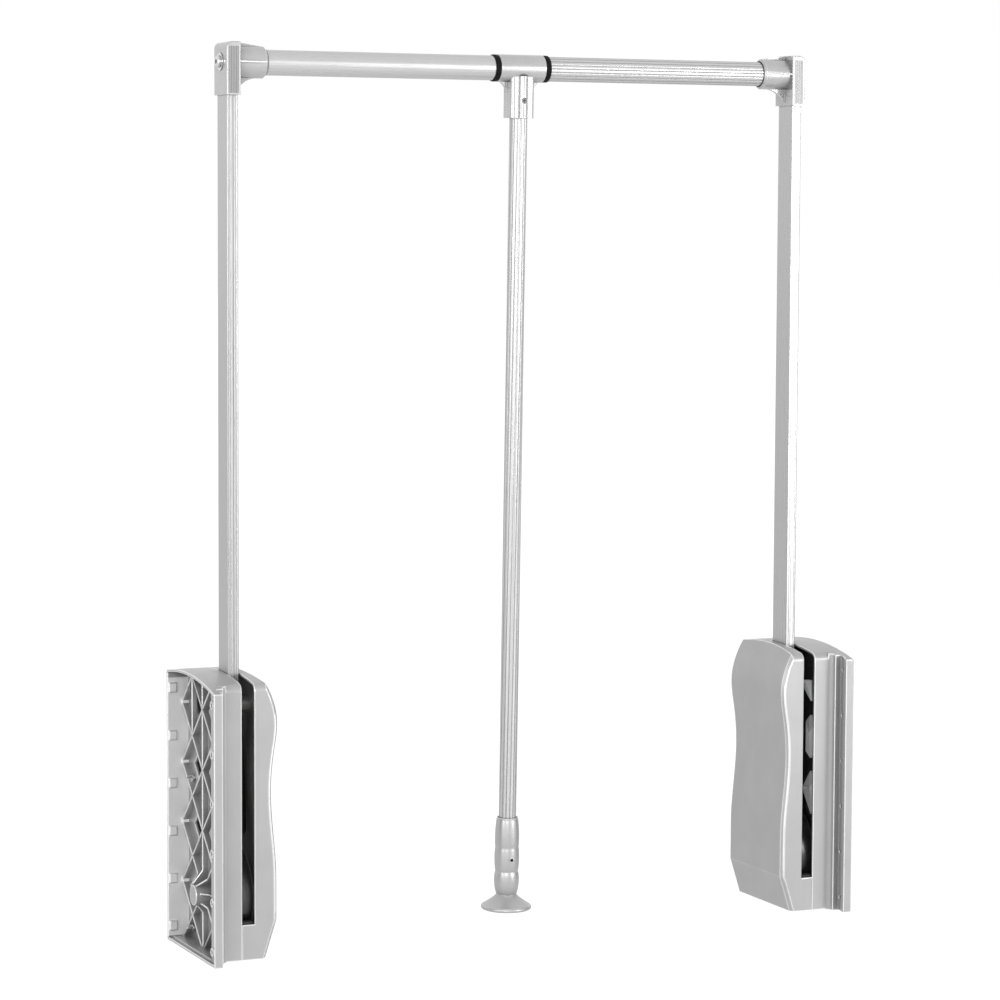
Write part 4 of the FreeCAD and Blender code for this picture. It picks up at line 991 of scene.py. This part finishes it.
def grip_outline():
    """The grip's outline: lip, three swells, bell, half-round rim, underside and bore.

    The bell's radius grows by its spread * share to a power, and the rim is a half ellipse:
    the middle's height + half height * cos, its radius + half width * sin.
    """
    swells = [scallop(*ends) for ends in zip(GRIP_WAISTS, GRIP_WAISTS[1:], GRIP_SWELLS)]
    share = np.linspace(0, 1, 14)
    bell = np.column_stack((
        BELL_HEAD[0] - BELL_DROP * share, BELL_HEAD[1] + BELL_SPREAD * share ** BELL_POWER))
    turn = np.linspace(0, 1, 10) * math.pi
    rim = np.column_stack((
        RIM_MIDDLE[0] + RIM_HALF_HEIGHT * np.cos(turn), RIM_MIDDLE[1] + RIM_HALF_WIDTH * np.sin(turn)))
    return np.concatenate((GRIP_LIP, *swells, bell, rim, GRIP_UNDERSIDE, GRIP_BORE))


class ClosetRodGrip(bpy.types.Operator):
    """Make the turned grip with its three swells, bell and foot, and its screw's seat"""

    bl_idname = "closet_rod.grip"
    bl_label = "Grip"

    def execute(self, context):
        finish = context.scene.closet_rod_finish
        silver = moulded_silver(
            "grip_silver", finish.grip_colour, 0.38, coat=0.1, metallic=0.85, edge_size=0.2)
        black = plain_plastic("grub_screw_black", finish.black_colour, 0.5, gloss=0.3, edge_highlight=0.0)
        finish_nodes(black, "grip_screw")
        middle = box_middle("inner_rail_tube")[1]
        grip = turned(grip_outline(), (0.0, middle, 0.0), (0.0, 0.0, 1.0))
        piece = mesh_object("turned_grip", [leaned(grip)], silver, 24.0)
        settle(piece, "handle", "grip_silver", "handle_grip")
        mouth = (0.0, middle - GRIP_SCREW_FACE, GRIP_SCREW_HEIGHT)
        forward = (0.0, -1.0, 0.0)
        collar = turned(COLLAR, mouth, forward, SCREW_SIDES)
        piece = mesh_object("grip_screw_collar", [leaned(collar)], silver)
        settle(piece, "handle", "grip_silver")
        well = turned(
            [(reach, WELL_RADIUS) for reach in WELL_REACH], mouth, forward, SCREW_SIDES,
            close_rows=False)
        piece = mesh_object("grip_screw_well", [leaned(well)], black)
        settle(piece, "handle", "black_plastic")
        return {"FINISHED"}


# ---------------------------------------------------------------- the stage

def area_light(name, place, size, power):
    """A soft oblong light, aimed at the middle of the object."""
    light = bpy.data.lights.new(name, "AREA")
    light.shape = "RECTANGLE"
    light.size, light.size_y = size
    light.energy = power
    holder = bpy.data.objects.new(name, light)
    holder.location = place
    direction = Vector(LIGHT_AIM) - Vector(place)
    holder.rotation_euler = direction.to_track_quat("-Z", "Y").to_euler()
    bpy.context.scene.collection.objects.link(holder)


def where_seen(tree, straight, mirrored):
    """A number that is straight for camera rays, mirrored for mirror and glass rays, else 0."""
    path = tree.nodes.new("ShaderNodeLightPath")
    rays = (("Is Camera Ray", straight), ("Is Glossy Ray", mirrored), ("Is Transmission Ray", mirrored))
    return calculated(tree, "MAXIMUM", *[
        calculated(tree, "MULTIPLY", path.outputs[name], share) for name, share in rays])


class ClosetRodStageBuild(bpy.types.Operator):
    """Set up the floor, the room's light and the camera"""

    bl_idname = "closet_rod.stage"
    bl_label = "Stage"

    def execute(self, context):
        stage = context.scene.closet_rod_stage
        scene = context.scene
        scene.view_settings.view_transform = "Standard"
        self.make_world(scene, stage)
        self.make_floor(scene, stage)
        for name, (place, size, power) in LIGHTS.items():
            area_light(name, place, size, getattr(stage, power))
        self.make_camera(scene, stage)
        return {"FINISHED"}

    def make_world(self, scene, stage):
        """An even room that is plain white where it is seen or mirrored."""
        world = bpy.data.worlds.new("even_room")
        scene.world = world
        world.use_nodes = True
        tree = world.node_tree
        tree.nodes.clear()
        output = tree.nodes.new("ShaderNodeOutputWorld")
        mix = tree.nodes.new("ShaderNodeMixShader")
        tree.links.new(where_seen(tree, 1.0, 1.0), mix.inputs["Fac"])
        for index, strength in ((1, stage.world_strength), (2, 1.0)):
            room = tree.nodes.new("ShaderNodeBackground")
            room.inputs["Color"].default_value = (1, 1, 1, 1)
            room.inputs["Strength"].default_value = strength
            tree.links.new(room.outputs["Background"], mix.inputs[index])
        tree.links.new(mix.outputs["Shader"], output.inputs["Surface"])

    def make_floor(self, scene, stage):
        """A pale matt floor, lifted to white where it is seen, that still takes shadows."""
        material = bpy.data.materials.new("pale_floor")
        material.use_nodes = True
        tree = material.node_tree
        tree.nodes.clear()
        output = tree.nodes.new("ShaderNodeOutputMaterial")
        matt = tree.nodes.new("ShaderNodeBsdfDiffuse")
        matt.inputs["Color"].default_value = (FLOOR_GREY, FLOOR_GREY, FLOOR_GREY, 1)
        white = tree.nodes.new("ShaderNodeEmission")
        tree.links.new(where_seen(tree, *FLOOR_GLOW), white.inputs["Strength"])
        both = tree.nodes.new("ShaderNodeAddShader")
        tree.links.new(matt.outputs["BSDF"], both.inputs[0])
        tree.links.new(white.outputs["Emission"], both.inputs[1])
        tree.links.new(both.outputs["Shader"], output.inputs["Surface"])
        mesh = bpy.data.meshes.new("floor")
        square = ((-1, -1), (1, -1), (1, 1), (-1, 1))
        corners = [(FLOOR_HALF * x, FLOOR_HALF * y, stage.floor_level) for x, y in square]
        mesh.from_pydata(corners, [], [(0, 1, 2, 3)])
        mesh.materials.append(material)
        floor = bpy.data.objects.new("floor", mesh)
        scene.collection.objects.link(floor)

    def make_camera(self, scene, stage):
        """The camera looks along yaw and pitch; its own right and up turn by the roll."""
        yaw, pitch, roll = stage.camera_yaw, stage.camera_pitch, stage.camera_roll
        ahead = np.array((
            math.sin(yaw) * math.cos(pitch), math.cos(yaw) * math.cos(pitch), math.sin(pitch)))
        right = np.array((math.cos(yaw), -math.sin(yaw), 0.0))
        up = np.cross(right, ahead)
        rolled_right = math.cos(roll) * right + math.sin(roll) * up
        rolled_up = -math.sin(roll) * right + math.cos(roll) * up
        camera = bpy.data.cameras.new("camera")
        camera.lens = stage.camera_lens
        camera.sensor_width = 36.0
        camera.clip_start = 0.1
        camera.clip_end = 100.0
        holder = bpy.data.objects.new("camera", camera)
        turn = Matrix(np.column_stack((rolled_right, rolled_up, -ahead)).tolist()).to_4x4()
        holder.matrix_world = Matrix.Translation(stage.camera_place) @ turn
        scene.collection.objects.link(holder)
        scene.camera = holder


# ---------------------------------------------------------------- panel and registration

STEPS = (
    ClosetRodHousings,
    ClosetRodWindows,
    ClosetRodBeads,
    ClosetRodArms,
    ClosetRodRail,
    ClosetRodTee,
    ClosetRodPullRod,
    ClosetRodGrip,
    ClosetRodStageBuild,
)
GROUPS = {
    "closet_rod_sizes": ClosetRodSizes,
    "closet_rod_finish": ClosetRodFinish,
    "closet_rod_stage": ClosetRodStage,
}


class ClosetRodPanel(bpy.types.Panel):
    """Settings and build steps of the closet rod"""

    bl_idname = "VIEW3D_PT_closet_rod"
    bl_label = "Closet Rod"
    bl_space_type = "VIEW_3D"
    bl_region_type = "UI"
    bl_category = "Closet Rod"

    def draw(self, context):
        for name in GROUPS:
            group = getattr(context.scene, name)
            box = self.layout.box()
            for setting in group.__annotations__:
                box.prop(group, setting)
        for step in STEPS:
            self.layout.operator(step.bl_idname)


def register():
    for name, group in GROUPS.items():
        bpy.utils.register_class(group)
        setattr(bpy.types.Scene, name, PointerProperty(type=group))
    for step in STEPS:
        bpy.utils.register_class(step)
    bpy.utils.register_class(ClosetRodPanel)


def unregister():
    bpy.utils.unregister_class(ClosetRodPanel)
    for step in reversed(STEPS):
        bpy.utils.unregister_class(step)
    for name, group in GROUPS.items():
        delattr(bpy.types.Scene, name)
        bpy.utils.unregister_class(group)


def main():
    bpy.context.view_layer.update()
    register()
    bpy.ops.closet_rod.housings()
    bpy.ops.closet_rod.windows()
    bpy.ops.closet_rod.beads()
    bpy.ops.closet_rod.arms()
    bpy.ops.closet_rod.rail()
    bpy.ops.closet_rod.tee()
    bpy.ops.closet_rod.pull_rod()
    bpy.ops.closet_rod.grip()
    bpy.ops.closet_rod.stage()


if __name__ == "__main__":
    main()
